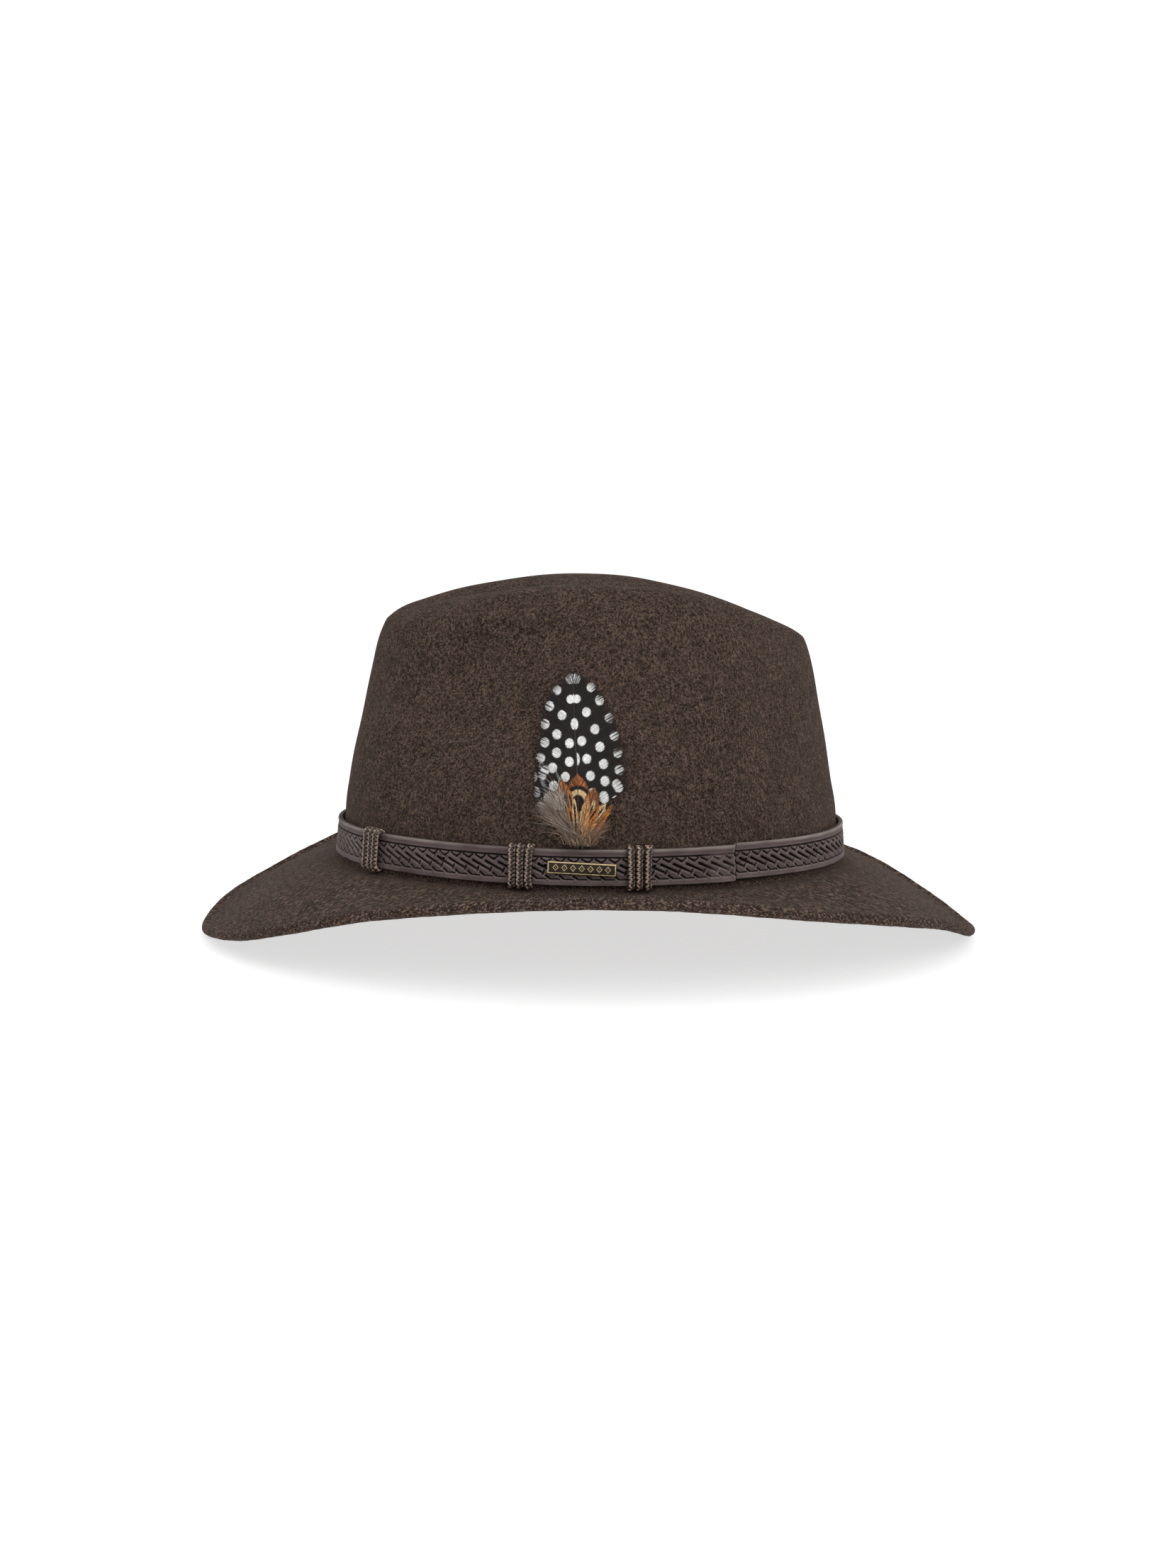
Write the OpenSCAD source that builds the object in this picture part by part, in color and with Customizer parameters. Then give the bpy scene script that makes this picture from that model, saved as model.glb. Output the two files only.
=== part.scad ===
// Felt fedora: blocked crown and rolled-edge brim, leather strap band with
// braided cord keepers, a small brass badge and a tucked feather bunch.
// Frame: +Z up, -Y front of the hat, +X wearer's left (the trimmed side).
// Origin: centre of the head opening, level with the brim break. Millimetres.

/* [Head opening] */
// half length of the crown base, front to back, outside the felt
base_half_l = 104.4; // [98:0.2:112]
// half width of the crown base, outside the felt
base_half_w = 87.2; // [82:0.2:92]
// radius of the front and back arcs of the oval
base_end_r = 72; // [66:0.5:78]
// felt thickness
felt_t = 2.0; // [1.6:0.1:2.6]

/* [Crown] */
// height of the side ridges above the brim break
crown_h = 116.4; // [100:0.2:130]
// drop of the ridge line toward the front, per square millimetre
ridge_front = 0.0020; // [0.0012:0.0001:0.003]
// drop of the ridge line toward the back, per square millimetre
ridge_back = 0.0029; // [0.0018:0.0001:0.004]
// rounding of the crown corner
corner_k = 15; // [10:1:28]
// depth of the centre crease
crease_depth = 17; // [8:1:24]
// half distance between the two ridges
ridge_x = 52; // [28:1:56]
// depth of the two front pinches
pinch_depth = 8; // [0:0.5:10]

/* [Brim] */
// brim width from crown base to the middle of the rolled edge
brim_w = 56.0; // [44:0.5:70]
// radius of the rolled edge
edge_r = 2.25; // [1.9:0.05:2.6]
// height of the rolled edge at the side
edge_z_side = 6.0; // [0:0.5:12]
// edge height a third of the way to the front
edge_z_f1 = -2.1; // [-8:0.1:4]
// edge height at the front quarter
edge_z_f2 = -18.9; // [-24:0.1:-10]
// edge height beside the front tip
edge_z_f3 = -25.4; // [-30:0.1:-18]
// edge height at the front tip
edge_z_f4 = -29.2; // [-34:0.1:-22]
// edge height a third of the way to the back
edge_z_b1 = -3.5; // [-8:0.1:4]
// edge height at the back quarter
edge_z_b2 = -15.6; // [-24:0.1:-10]
// edge height beside the back tip
edge_z_b3 = -25.1; // [-30:0.1:-18]
// edge height at the back tip
edge_z_b4 = -29.3; // [-34:0.1:-22]
// diameter of the spring wire in the rolled edge
wire_d = 1.2; // [0.8:0.1:1.3]

/* [Strap] */
// height of the lower strap edge above the brim break
strap_z = 2.6; // [2.4:0.1:4]
// strap width, measured upright
strap_h = 14.2; // [12:0.2:16]
// strap thickness at its raised borders
strap_t = 1.8; // [1.4:0.1:2]
// how far the lower strap edge stands outside the crown base
strap_out = 2.8; // [2.8:0.1:3.4]
// how much the strap leans in over its width
strap_in = 1.0; // [0.6:0.1:1.4]
// depth of the pressed pattern field
emboss_t = 0.35; // [0.2:0.05:0.6]
// width of each raised border
border_w = 2.6; // [1.6:0.1:3.4]
// angle of the strap's cut end, from the side toward the back
lap_a = 25.7; // [22:0.1:40]

/* [Cord keepers] */
// cord diameter
cord_d = 2.3; // [1.8:0.1:2.4]
// distance from turn to turn
cord_pitch = 3.3; // [2.6:0.1:4]
// angle of the front cord group
cord_front_a = -51.3; // [-60:0.1:-50]
// angle of the middle cord group
cord_mid_a = -16.7; // [-24:0.1:-16]
// angle of the rear cord group
cord_rear_a = 5.8; // [5:0.1:10]

/* [Badge] */
// badge length
badge_l = 26.4; // [20:0.2:28]
// badge height
badge_h = 4.7; // [4:0.1:7]
// badge thickness
badge_t = 1.0; // [0.8:0.1:1.4]
// badge centre angle
badge_a = -5.0; // [-6:0.1:-4]
// turn of the badge on the strap
badge_turn = -2.2; // [-4:0.1:0]
// height of the badge centre above the brim break
badge_z = 9.4; // [8:0.1:11]

/* [Sweatband] */
// sweatband height
sweat_h = 34; // [26:1:40]
// sweatband thickness
sweat_t = 1.0; // [0.8:0.1:1.4]

/* [Feathers] */
// angle of the feather bunch
bunch_a = -5.0; // [-7:0.1:-3]
// length of the large spotted feather above the strap
guinea_l = 69; // [50:1:72]
// width of the large spotted feather
guinea_w = 36; // [26:1:38]

/* [Hidden] */
cols = 72;
ey = base_half_l - base_end_r;
side_r = (ey * ey + base_half_w * base_half_w - base_end_r * base_end_r) / (2 * (base_half_w - base_end_r));
sx = side_r - base_half_w;
join_a = atan2(ey, sx);
strap_lean = atan2(strap_in, strap_h);
gap = 1.05;
felt_col = [0.27, 0.22, 0.20];
leather_col = [0.30, 0.27, 0.27];
cord_col = [0.36, 0.29, 0.24];
brass_col = [0.55, 0.47, 0.30];

// ---- oval of four arcs; d is the distance outside the crown base ----
function fold(t) = acos(min(1, abs(cos(t))));
function oval(t, d) = fold(t) < join_a
    ? [-sign(cos(t)) * sx + (side_r + d) * cos(t), (side_r + d) * sin(t)]
    : [(base_end_r + d) * cos(t), sign(sin(t)) * ey + (base_end_r + d) * sin(t)];
function ramp(x, a, b) = let (t = min(1, max(0, (x - a) / (b - a)))) t * t * (3 - 2 * t);
function mixv(a, b, t) = a * (1 - t) + b * t;

// a quarter ring of constant section, drawn as [distance outside base, height]
module arc_piece(cx, cy, r, a0, a1) {
    translate([cx, cy, 0])
        rotate([0, 0, a0])
            rotate_extrude(angle = a1 - a0, $fn = 180)
                translate([r, 0]) children();
}
module oval_ring() {
    arc_piece(-sx, 0, side_r, -join_a, join_a) children();
    arc_piece(0, ey, base_end_r, join_a, 180 - join_a) children();
    arc_piece(sx, 0, side_r, 180 - join_a, 180 + join_a) children();
    arc_piece(0, -ey, base_end_r, 180 + join_a, 360 - join_a) children();
}
// stands children on the oval: local +X outward, +Y toward the back, +Z up
module at_oval(t, d, z, lean = 0) {
    p = oval(t, d);
    translate([p[0], p[1], z]) rotate([0, 0, t]) rotate([0, -lean, 0]) children();
}
// extrudes a drawing made in the local upright plane outward by h
module upright(h) { rotate([90, 0, 90]) linear_extrude(h) children(); }

// ---- felt body ----
function wall_side(z) = 2.0 - 0.16 * z - 0.0004 * z * z;
function wall_front(z) = 2.0 - 0.125 * z - 0.0006 * z * z;
function wall_back(z) = 2.3 - 0.17 * z - 0.00012 * z * z;
function strap_line(z) = strap_out - strap_t - gap - strap_in / strap_h * (z - strap_z);
function wall_raw(z, t) = let (s = sin(t), w = s * s,
        e = s < 0 ? wall_front(z) : wall_back(z))
    mixv(strap_line(z), mixv(wall_side(z), e, w), ramp(z, strap_z + strap_h, strap_z + strap_h + 17));
// the pinch runs as a diagonal hollow on each front side
function pinch(y, z) = let (dy = y + 48, dz = z - 84,
        a = -0.914 * dy - 0.405 * dz, c = 0.405 * dy - 0.914 * dz,
        w = c < 0 ? exp(-c * c / 260) : exp(-c * c / 1300))
    pinch_depth * exp(-a * a / 1900) * w * ramp(z, 30, 66);
function ridge(y) = crown_h - (y < 0 ? ridge_front : ridge_back) * y * y;
function ridge_half(y) = ridge_x - (y < 8 ? 0.0048 : 0.0052) * (y - 8) * (y - 8);
function crease(y) = crease_depth * ramp(y, -104, -30) * (1 - ramp(y, 22, 84));
function top_h(x, y) = let (r = max(9, ridge_half(y)), ax = abs(x))
    ridge(y) - (ax < r ? crease(y) * (1 - ramp(ax, 0, r)) : 0.009 * (ax - r) * (ax - r));
function smin(a, b, k) = let (h = min(1, max(0, 0.5 + 0.5 * (b - a) / k))) mixv(b, a, h) - k * h * (1 - h);
function wall_pt(zw, t) = let (d0 = wall_raw(zw, t), p0 = oval(t, d0), q = pinch(p0[1], zw),
        side = 1 - ramp(fold(t), 70, 90),
        p = oval(t, d0 - q * (0.25 + 0.75 * side)))
    [p[0], p[1], smin(zw, top_h(p[0], p[1]), corner_k)];
wall_top = 104;
function top_pt(s, t) = let (p = wall_pt(wall_top, t), x = p[0] * s, y = p[1] * s)
    [x, y, smin(wall_top + (1 - s) * 180, top_h(x, y), corner_k)];

function cubic(a, b, c, d, t) = b + 0.5 * t * (c - a + t * (2 * a - 5 * b + 4 * c - d + t * (3 * (b - c) + d - a)));
function wrap(t) = t > 180 ? t - 360 : t < -180 ? t + 360 : t;
function edge_z(t0) = let (t = wrap(t0), a = fold(t), f = sin(t) < 0,
        k = f ? [edge_z_b1, edge_z_side, edge_z_f1, edge_z_f2, edge_z_f3, edge_z_f4, edge_z_f3]
              : [edge_z_f1, edge_z_side, edge_z_b1, edge_z_b2, edge_z_b3, edge_z_b4, edge_z_b3],
        st = [-30, 0, 30, 54, 72, 90, 108],
        i = a < 30 ? 1 : a < 54 ? 2 : a < 72 ? 3 : 4,
        w = (a - st[i]) / (st[i + 1] - st[i]),
        h = st[i + 1] - st[i], h0 = st[i] - st[i - 1], h2 = st[i + 2] - st[i + 1],
        m0 = ((k[i + 1] - k[i]) / h * h0 + (k[i] - k[i - 1]) / h0 * h) / (h + h0) * h,
        m1 = ((k[i + 2] - k[i + 1]) / h2 * h + (k[i + 1] - k[i]) / h * h2) / (h + h2) * h)
    (1 + 2 * w) * (1 - w) * (1 - w) * k[i] + w * (1 - w) * (1 - w) * m0
        + w * w * (3 - 2 * w) * k[i + 1] + w * w * (w - 1) * m1;
function edge_w(t) = brim_w - 0.2 * sin(t);
// height of the brim's upper face, u from 0 at the break to 1 at the edge
function brim_z(u, t) = let (c = cos(t), p = 1.25 + 0.85 * c * c) (edge_z(t) + 0.6) * pow(u, p) - 0.9 * c * c * sin(180 * u);
function slope(t) = atan2(brim_z(0.98, t) - brim_z(0.94, t), 0.04 * edge_w(t));
rim = [[150, 0], [128, 0], [100, 0], [70, 0], [40, 0], [10, 0], [-20, 0], [-50, 0], [-80, 0], [-112, 0], [-146, 0],
    [-150, 1], [-95, 1], [-30, 1], [40, 1], [100, 1], [155, 1]];
rest_z = min(edge_z_f4, edge_z_b4) - edge_r + 0.75;
function rim_pt(k, t) = let (b = slope(t), a = rim[k][0] + b, r = rim[k][1] == 0 ? edge_r : wire_d / 2 + 0.15,
        p = oval(t, edge_w(t) + r * cos(a)), z = edge_z(t) + r * sin(a))
    [p[0], p[1], rim[k][1] == 0 ? max(rest_z, z) : z];

top_s = [0.1, 0.22, 0.34, 0.46, 0.57, 0.68, 0.77, 0.85, 0.92, 0.965];
wall_z = [104, 99, 94, 88, 81, 73, 64, 54, 43, 33, 25, 17, 10, 4.5, 2.2];
fillet = [0.25, 0.5, 0.75];
brim_u = [0.05, 0.13, 0.25, 0.4, 0.55, 0.7, 0.83, 0.935];
outer = concat(
    [for (s = top_s) [for (j = [0:cols - 1]) top_pt(s, j * 360 / cols)]],
    [for (z = wall_z) [for (j = [0:cols - 1]) wall_pt(z, j * 360 / cols)]],
    [for (f = fillet) [for (j = [0:cols - 1]) let (t = j * 360 / cols, g = 1 - f,
        d = g * g * strap_line(2.2) + 2 * f * g * 0.1 + f * f * 0.05 * brim_w,
        z = g * g * 2.2 + f * f * brim_z(0.05, t), p = oval(t, d)) [p[0], p[1], z]]],
    [for (u = brim_u) [for (j = [0:cols - 1]) let (t = j * 360 / cols, p = oval(t, u * edge_w(t)))
        [p[0], p[1], brim_z(u, t)]]]);
nr = len(outer);
hem = [for (k = [0:len(rim) - 1]) [for (j = [0:cols - 1]) rim_pt(k, j * 360 / cols)]];
function at(g, i, j) = g[i][(j + cols) % cols];
function unit(v) = v / norm(v);
function normal_at(i, j) = unit(cross(at(outer, i, j + 1) - at(outer, i, j - 1),
        (i == 0 ? at(outer, 1, j) - [0, 0, top_h(0, 0)] : i == nr - 1 ? at(outer, i, j) - at(outer, i - 1, j)
            : at(outer, i + 1, j) - at(outer, i - 1, j))));
inner = [for (i = [nr - 1:-1:0]) [for (j = [0:cols - 1]) outer[i][j] + felt_t * normal_at(i, j)]];

module felt_body() {
    apex = [0, 0, top_h(0, 0)];
    rings = concat(outer, hem, inner);
    n = len(rings);
    pts = concat([for (r = rings) for (p = r) p], [apex, apex - [0, 0, felt_t]]);
    top = n * cols;
    faces = concat(
        [for (j = [0:cols - 1]) [top, (j + 1) % cols, j]],
        [for (i = [0:n - 2]) for (j = [0:cols - 1]) let (a = i * cols + j, b = i * cols + (j + 1) % cols,
            c = b + cols, d = a + cols, f = norm(pts[a] - pts[c]) < norm(pts[b] - pts[d]))
            each (f ? [[a, b, c], [a, c, d]] : [[a, b, d], [b, c, d]])],
        [for (j = [0:cols - 1]) [top + 1, (n - 1) * cols + j, (n - 1) * cols + (j + 1) % cols]]);
    color(felt_col) polyhedron(points = pts, faces = faces, convexity = 6);
}

module brim_wire() {
    m = 8;
    pts = [for (j = [0:cols - 1]) for (k = [0:m - 1]) let (t = j * 360 / cols, a = k * 360 / m,
        p = oval(t, edge_w(t) + wire_d / 2 * cos(a))) [p[0], p[1], edge_z(t) + wire_d / 2 * sin(a)]];
    faces = [for (j = [0:cols - 1]) for (k = [0:m - 1]) let (a = j * m + k, b = j * m + (k + 1) % m,
        c = ((j + 1) % cols) * m + (k + 1) % m, d = ((j + 1) % cols) * m + k)
        each [[a, d, c], [a, c, b]]];
    color([0.5, 0.5, 0.52]) polyhedron(points = pts, faces = faces, convexity = 4);
}

// ---- sweatband ----
sw_out = strap_line(2) - felt_t - 0.35;
// outer face of the sweatband, following the inside of the crown wall
sweat_line = concat([[sw_out, 0.4], [sw_out - 1.08, 16.5]],
    [for (z = [22, 26, 30, sweat_h]) [wall_raw(z, 0) - felt_t - 0.45, z]]);
module sweatband() {
    color([0.42, 0.29, 0.19]) oval_ring()
        polygon(concat([for (p = sweat_line) [p[0] - sweat_t, p[1]]],
            [for (i = [len(sweat_line) - 1:-1:0]) sweat_line[i] + [i == len(sweat_line) - 1 ? -0.5 : 0, 0]]));
}
module sweatband_reed() {
    color([0.16, 0.13, 0.12]) oval_ring()
        translate([sw_out - sweat_t / 2, -0.75]) circle(d = 1.5, $fn = 10);
}
module sweatband_stitches() {
    color([0.62, 0.52, 0.38])
        for (t = [3:6:357])
            at_oval(t, sw_out - sweat_t - 0.54, 3) rotate([90, 0, 0])
                translate([0, 0, -1.5]) cylinder(d = 0.45, h = 3, $fn = 14);
}
module sweatband_bow() {
    color([0.14, 0.11, 0.10]) at_oval(90, sw_out - sweat_t - 2.8, 13)
        union() {
            for (s = [-1, 1]) {
                upright(0.8) polygon([[0, -1], [s * 9, -4.5], [s * 10.5, -3], [s * 10.5, 3], [s * 9, 4.5], [0, 1]]);
                upright(0.5) polygon([[0, 0], [s * 2, -0.5], [s * 7.5, -11], [s * 4, -12.2]]);
            }
            translate([-0.6, -2, -2]) cube([2.2, 4, 4]);
        }
}
module care_label() {
    color([0.88, 0.86, 0.80]) at_oval(62, sw_out - sweat_t - 3.2, 22, 9)
        translate([0, -8, -9]) cube([0.25, 16, 20]);
}

// ---- strap ----
// strap section: flat back, raised borders, recessed field with edge grooves
function on_strap(x, z) = [strap_out + x - strap_in / strap_h * z, strap_z + z];
module strap_section() {
    polygon([for (p = [[-strap_t, 0], [-0.3, 0], [0, 0.3], [0, border_w - 0.3], [-0.45, border_w],
        [-emboss_t, border_w + 0.4], [-emboss_t, strap_h - border_w - 0.4], [-0.45, strap_h - border_w],
        [0, strap_h - border_w + 0.3], [0, strap_h - 0.3], [-0.3, strap_h], [-strap_t, strap_h]]) on_strap(p[0], p[1])]);
}
// the upper end of the lap stands a little proud
module lap_section() {
    polygon([for (p = [[-1, 0.15], [0.25, 0.15], [0.5, 0.4], [0.5, border_w - 0.3], [0.1, border_w],
        [0.2, border_w + 0.4], [0.2, strap_h - border_w - 0.4], [0.1, strap_h - border_w],
        [0.5, strap_h - border_w + 0.3], [0.5, strap_h - 0.4], [0.25, strap_h - 0.15], [-1, strap_h - 0.15]])
        on_strap(p[0], p[1])]);
}
module hatband_strap() {
    color(leather_col) difference() {
        union() {
            oval_ring() strap_section();
            arc_piece(-sx, 0, side_r, lap_a - 5, lap_a) lap_section();
        }
        for (s = [-1, 1])
            post_axis(s) translate([0, 0, -5]) cylinder(d = 1.4, h = 8, $fn = 24);
    }
}
module strap_lap_stitches() {
    color([0.22, 0.19, 0.18])
        for (z = [3.6, 7.1, 10.6])
            at_oval(lap_a - 2.5, strap_out - strap_t - 0.3 - strap_in / strap_h * z, strap_z + z, strap_lean)
                rotate([90, 0, 0]) translate([0, 0, -1.6]) cylinder(d = 0.5, h = 3.2, $fn = 14);
}

// ---- badge ----
// face frame: local +Z outward, X along the strap, Y down the strap
module badge_frame() {
    at_oval(badge_a, strap_out - strap_in / strap_h * (badge_z - strap_z), badge_z, strap_lean)
        rotate([badge_turn, 0, 0]) rotate([0, 90, 0]) children();
}
module post_axis(s) { badge_frame() translate([0, s * 9.2, 0]) children(); }
module badge_plate() {
    st = 0.12;
    color(brass_col) difference() {
        union() {
            badge_frame() translate([-badge_h / 2, -badge_l / 2, st]) cube([badge_h, badge_l, badge_t]);
            for (s = [-1, 1])
                post_axis(s) translate([0, 0, -2.3]) cylinder(d = 1.2, h = 2.6 + st, $fn = 24);
        }
        badge_frame() translate([-badge_h / 2 + 0.7, -badge_l / 2 + 0.7, st + badge_t - 0.35])
            cube([badge_h - 1.4, badge_l - 1.4, 1]);
    }
    color(brass_col) badge_frame()
        for (k = [-5:5]) translate([0, k * 2.1, st + badge_t - 0.36])
            linear_extrude(0.3) polygon([[-1.1, 0], [0, 0.7], [1.1, 0], [0, -0.7]]);
}
module badge_post_washers() {
    color(brass_col)
        for (s = [-1, 1])
            post_axis(s) translate([0, 0, -2.72]) difference() {
                cylinder(d = 3.6, h = 0.35, $fn = 32);
                translate([0, 0, -1]) cylinder(d = 1.3, h = 3, $fn = 24);
            }
}

// ---- cord keepers: three turns round the strap ----
module cord_turn(t) {
    r = cord_d / 2;
    h = strap_h / 2 / cos(strap_lean);
    zf = h - 1.25;
    xf = 0.15 + r;
    xb = -strap_t - 0.48;
    rc = (xf - xb) / 2;
    xc = (xf + xb) / 2;
    at_oval(t, strap_out - strap_in / 2, strap_z + strap_h / 2, strap_lean)
        difference() {
            union() {
                for (x = [xf, xb]) translate([x, 0, -zf]) cylinder(r = r, h = 2 * zf, $fn = 24);
                for (s = [0, 1]) mirror([0, 0, s]) translate([xc, 0, zf]) rotate([90, 0, 0])
                    rotate_extrude(angle = 180, $fn = 48) translate([rc, 0]) circle(r = r, $fn = 24);
            }
            translate([-strap_t - 0.18, -3, -h - 0.15]) cube([strap_t + 0.3, 6, 2 * h + 0.3]);
            translate([-strap_t - 0.8 - 4, -3, -14]) cube([4, 6, 28]);
            translate([-6, -3, -h - 1.25 - 5]) cube([12, 6, 5]);
        }
}
module cord_bridge(t, z) {
    at_oval(t, strap_out - strap_in / 2, strap_z + strap_h / 2, strap_lean)
        translate([-strap_t - 0.76, -1.4, z]) cube([0.5, 2.8, 2.2]);
}
// half-turn angle step at a given place on the oval
function step_a(t) = cord_pitch / ((fold(t) < join_a ? side_r : base_end_r) + strap_out + 1) * 57.2958;
module cord_group(t) {
    a0 = t - step_a(t - 2.2);
    a1 = t + step_a(t + 1.4);
    for (a = [a0, t, a1]) cord_turn(a);
    cord_bridge((a0 + t) / 2, 1.5);
    cord_bridge((a1 + t) / 2, -3.5);
}
module cord_wrap_front() { color(cord_col) cord_group(cord_front_a); }
module cord_wrap_mid() { color(cord_col) cord_group(cord_mid_a); }
module cord_wrap_rear() { color(cord_col) cord_group(cord_rear_a); }

// ---- feathers ----
bunch_lean = 11.2;
// frame against the felt behind the strap, heights from the strap's lower edge
module tuck() { at_oval(bunch_a, strap_line(strap_z), strap_z, strap_lean) children(); }
// frame against the crown wall, heights from the strap's upper edge
module on_wall(x = 0, turn = 0, y = 0, z = 0) {
    at_oval(bunch_a, strap_line(strap_z + strap_h), strap_z + strap_h, bunch_lean)
        translate([x, y, z]) rotate([turn, 0, 0]) children();
}
// vane outline, quill end at the origin, tip at the top
function vane_w(u, b, e) = pow(sin(180 * pow(u, b)), e) * (1 - 0.12 * u);
function vane(l, w, b = 0.7, e = 0.75, n = 12) = concat(
    [for (i = [0:n]) let (u = i / n) [w / 2 * vane_w(u, b, e), l * u]],
    [for (i = [n - 1:-1:1]) let (u = i / n) [-w / 2 * vane_w(u, b, e), l * u]]);
module feather_backing_tab() {
    color([0.2, 0.17, 0.15]) tuck() translate([0.08, -6, 2.2]) cube([0.38, 12, strap_h - 2.6]);
}
// side outline of a quill rising from behind the strap to its place in the bunch
module rise(pts, y, w) {
    on_wall() translate([0, y + w / 2, 0]) rotate([90, 0, 0]) linear_extrude(w) polygon(pts);
}
main_rise = [[0.42, -0.9], [0.97, -0.9], [0.97, 0.9], [3.7, 5.6], [3.7, 7.2], [3.1, 7.2], [3.1, 5.9], [0.42, 1.4]];
under_rise = [[0.42, -0.9], [0.97, -0.9], [1.2, 6.4], [0.8, 6.4], [0.42, 2]];
module quill(y, w = 0.7) {
    tuck() translate([0.52, y - w / 2, 3.2]) cube([0.42, w, strap_h - 3.2]);
}
module feather_binding() {
    color([0.12, 0.1, 0.1]) difference() {
        on_wall() translate([1.95, -0.7, 1.5]) cylinder(r = 1.45, h = 2.6, $fn = 32);
        rise([for (p = main_rise) p + [p[0] < 1 && p[1] < 2 || p[0] == 3.1 ? -0.08 : 0.08, p[0] > 0.5 && p[1] < 5.7 ? -0.08 : 0.1]], 0, 0.9);
        rise([[0.34, -1.2], [1.07, -1.2], [1.28, 6.6], [0.72, 6.6], [0.34, 2]], -1.6, 0.9);
    }
}
module guinea_feather_under() {
    color([0.12, 0.12, 0.12]) {
        quill(-1.6);
        rise(under_rise, -1.6, 0.7);
        on_wall(0.8, 13, -1.6, 5.2) upright(0.4) polygon([for (p = vane(38, 24, 0.6, 0.6)) p + [0, 2.5]]);
        on_wall(0.8, 13, -1.6, 5.2) upright(0.4) polygon([[-0.3, 0], [0.3, 0], [0.3, 6], [-0.3, 6]]);
    }
}
module guinea_feather_main() {
    color([0.1, 0.1, 0.1]) {
        quill(0);
        rise(main_rise, 0, 0.7);
        on_wall(3.1, 2.8, 0, 5.4) upright(0.6)
            polygon([for (p = vane(guinea_l - 12.4, guinea_w, 0.53, 0.42)) p + [0, 7]]);
        on_wall(3.1, 2.8, 0, 5.4) upright(0.6) polygon([[-0.5, 0.6], [0.5, 0.6], [0.5, 12], [-0.5, 12]]);
    }
}
module pheasant(x, y, turn, l, w) {
    on_wall(x, turn, y, 6) upright(0.5) polygon(vane(l, w, 0.84));
}
module pheasant_feather_1() { color([0.66, 0.40, 0.18]) pheasant(4.0, -0.8, 0, 22.8, 12); }
module pheasant_feather_2() { color([0.60, 0.36, 0.16]) pheasant(4.7, -1.5, 14, 18, 8); }
module pheasant_feather_3() { color([0.72, 0.44, 0.20]) pheasant(5.4, 1.6, -24, 18, 9); }
module pheasant_feather_4() { color([0.66, 0.42, 0.20]) pheasant(6.1, 0.6, -4, 17.5, 9); }
module tuft(l, r) {
    rotate_extrude($fn = 32) polygon([[0, 0], [r * 0.5, l * 0.12], [r, l * 0.5], [r * 0.8, l * 0.8], [0, l]]);
}
module down_tuft_grey() {
    color([0.45, 0.40, 0.36]) on_wall(6.8, 42, -3.4, 7.2) upright(1.4) polygon(vane(20, 9, 1.1, 0.6));
}
module down_tuft_brown() {
    color([0.50, 0.40, 0.28]) difference() {
        on_wall(4.9, 0, 0, 0.7) tuft(10, 3.6);
        on_wall() translate([1.78, -0.7, -1]) cylinder(r = 1.7, h = 6, $fn = 32);
        on_wall() translate([0, -0.6, -1]) cube([3.9, 1.2, 9]);
        on_wall(3.0, 2.8, 0, 5.4) translate([-0.1, -8, -1]) cube([0.8, 16, 30]);
        on_wall(3.9, 0, 0, 6) translate([0, -7, -0.1]) cube([2.9, 14, 20]);
        on_wall(6.8, 42, -3.4, 7.2) translate([-0.1, -6, -1]) cube([1.6, 12, 12]);
    }
}

felt_body();
brim_wire();
sweatband();
sweatband_reed();
sweatband_stitches();
sweatband_bow();
care_label();
hatband_strap();
strap_lap_stitches();
badge_plate();
badge_post_washers();
cord_wrap_front();
cord_wrap_mid();
cord_wrap_rear();
feather_backing_tab();
feather_binding();
guinea_feather_under();
guinea_feather_main();
pheasant_feather_1();
pheasant_feather_2();
pheasant_feather_3();
pheasant_feather_4();
down_tuft_grey();
down_tuft_brown();
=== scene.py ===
import math

import bpy
import numpy as np
from mathutils import Matrix, Vector


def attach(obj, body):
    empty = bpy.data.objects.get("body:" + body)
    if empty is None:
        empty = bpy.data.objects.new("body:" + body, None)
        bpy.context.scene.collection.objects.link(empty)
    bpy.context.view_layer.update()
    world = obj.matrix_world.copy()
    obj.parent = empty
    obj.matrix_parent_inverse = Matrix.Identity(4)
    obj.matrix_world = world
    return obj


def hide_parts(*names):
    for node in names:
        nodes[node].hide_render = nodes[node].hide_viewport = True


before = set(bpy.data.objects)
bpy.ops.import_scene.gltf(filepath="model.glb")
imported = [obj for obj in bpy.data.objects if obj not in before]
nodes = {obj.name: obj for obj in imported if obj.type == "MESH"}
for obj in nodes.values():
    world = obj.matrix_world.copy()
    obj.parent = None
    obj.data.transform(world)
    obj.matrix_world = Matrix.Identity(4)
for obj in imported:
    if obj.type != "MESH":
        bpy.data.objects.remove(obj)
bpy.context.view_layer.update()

MM = 0.001
SEED = 11

# ------------------------------------------------------------------ oval and felt shape
HALF_L, HALF_W, END_R = 104.4, 87.2, 72.0
FELT_T = 2.0
CROWN_H, RIDGE_F, RIDGE_B, CORNER_K = 116.4, 0.0020, 0.0029, 15.0
CREASE, RIDGE_X, PINCH = 17.0, 52.0, 8.0
BRIM_W, EDGE_R, WIRE_D = 56.0, 2.25, 1.2
STRAP_Z, STRAP_H, STRAP_T, STRAP_OUT, STRAP_IN, GAP = 2.6, 14.2, 1.8, 2.8, 1.0, 1.05
LAP_A = 25.7
EY = HALF_L - END_R
SIDE_R = (EY * EY + HALF_W * HALF_W - END_R * END_R) / (2 * (HALF_W - END_R))
SX = SIDE_R - HALF_W
JOIN_A = math.degrees(math.atan2(EY, SX))
LEAN = math.atan2(STRAP_IN, STRAP_H)


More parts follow.
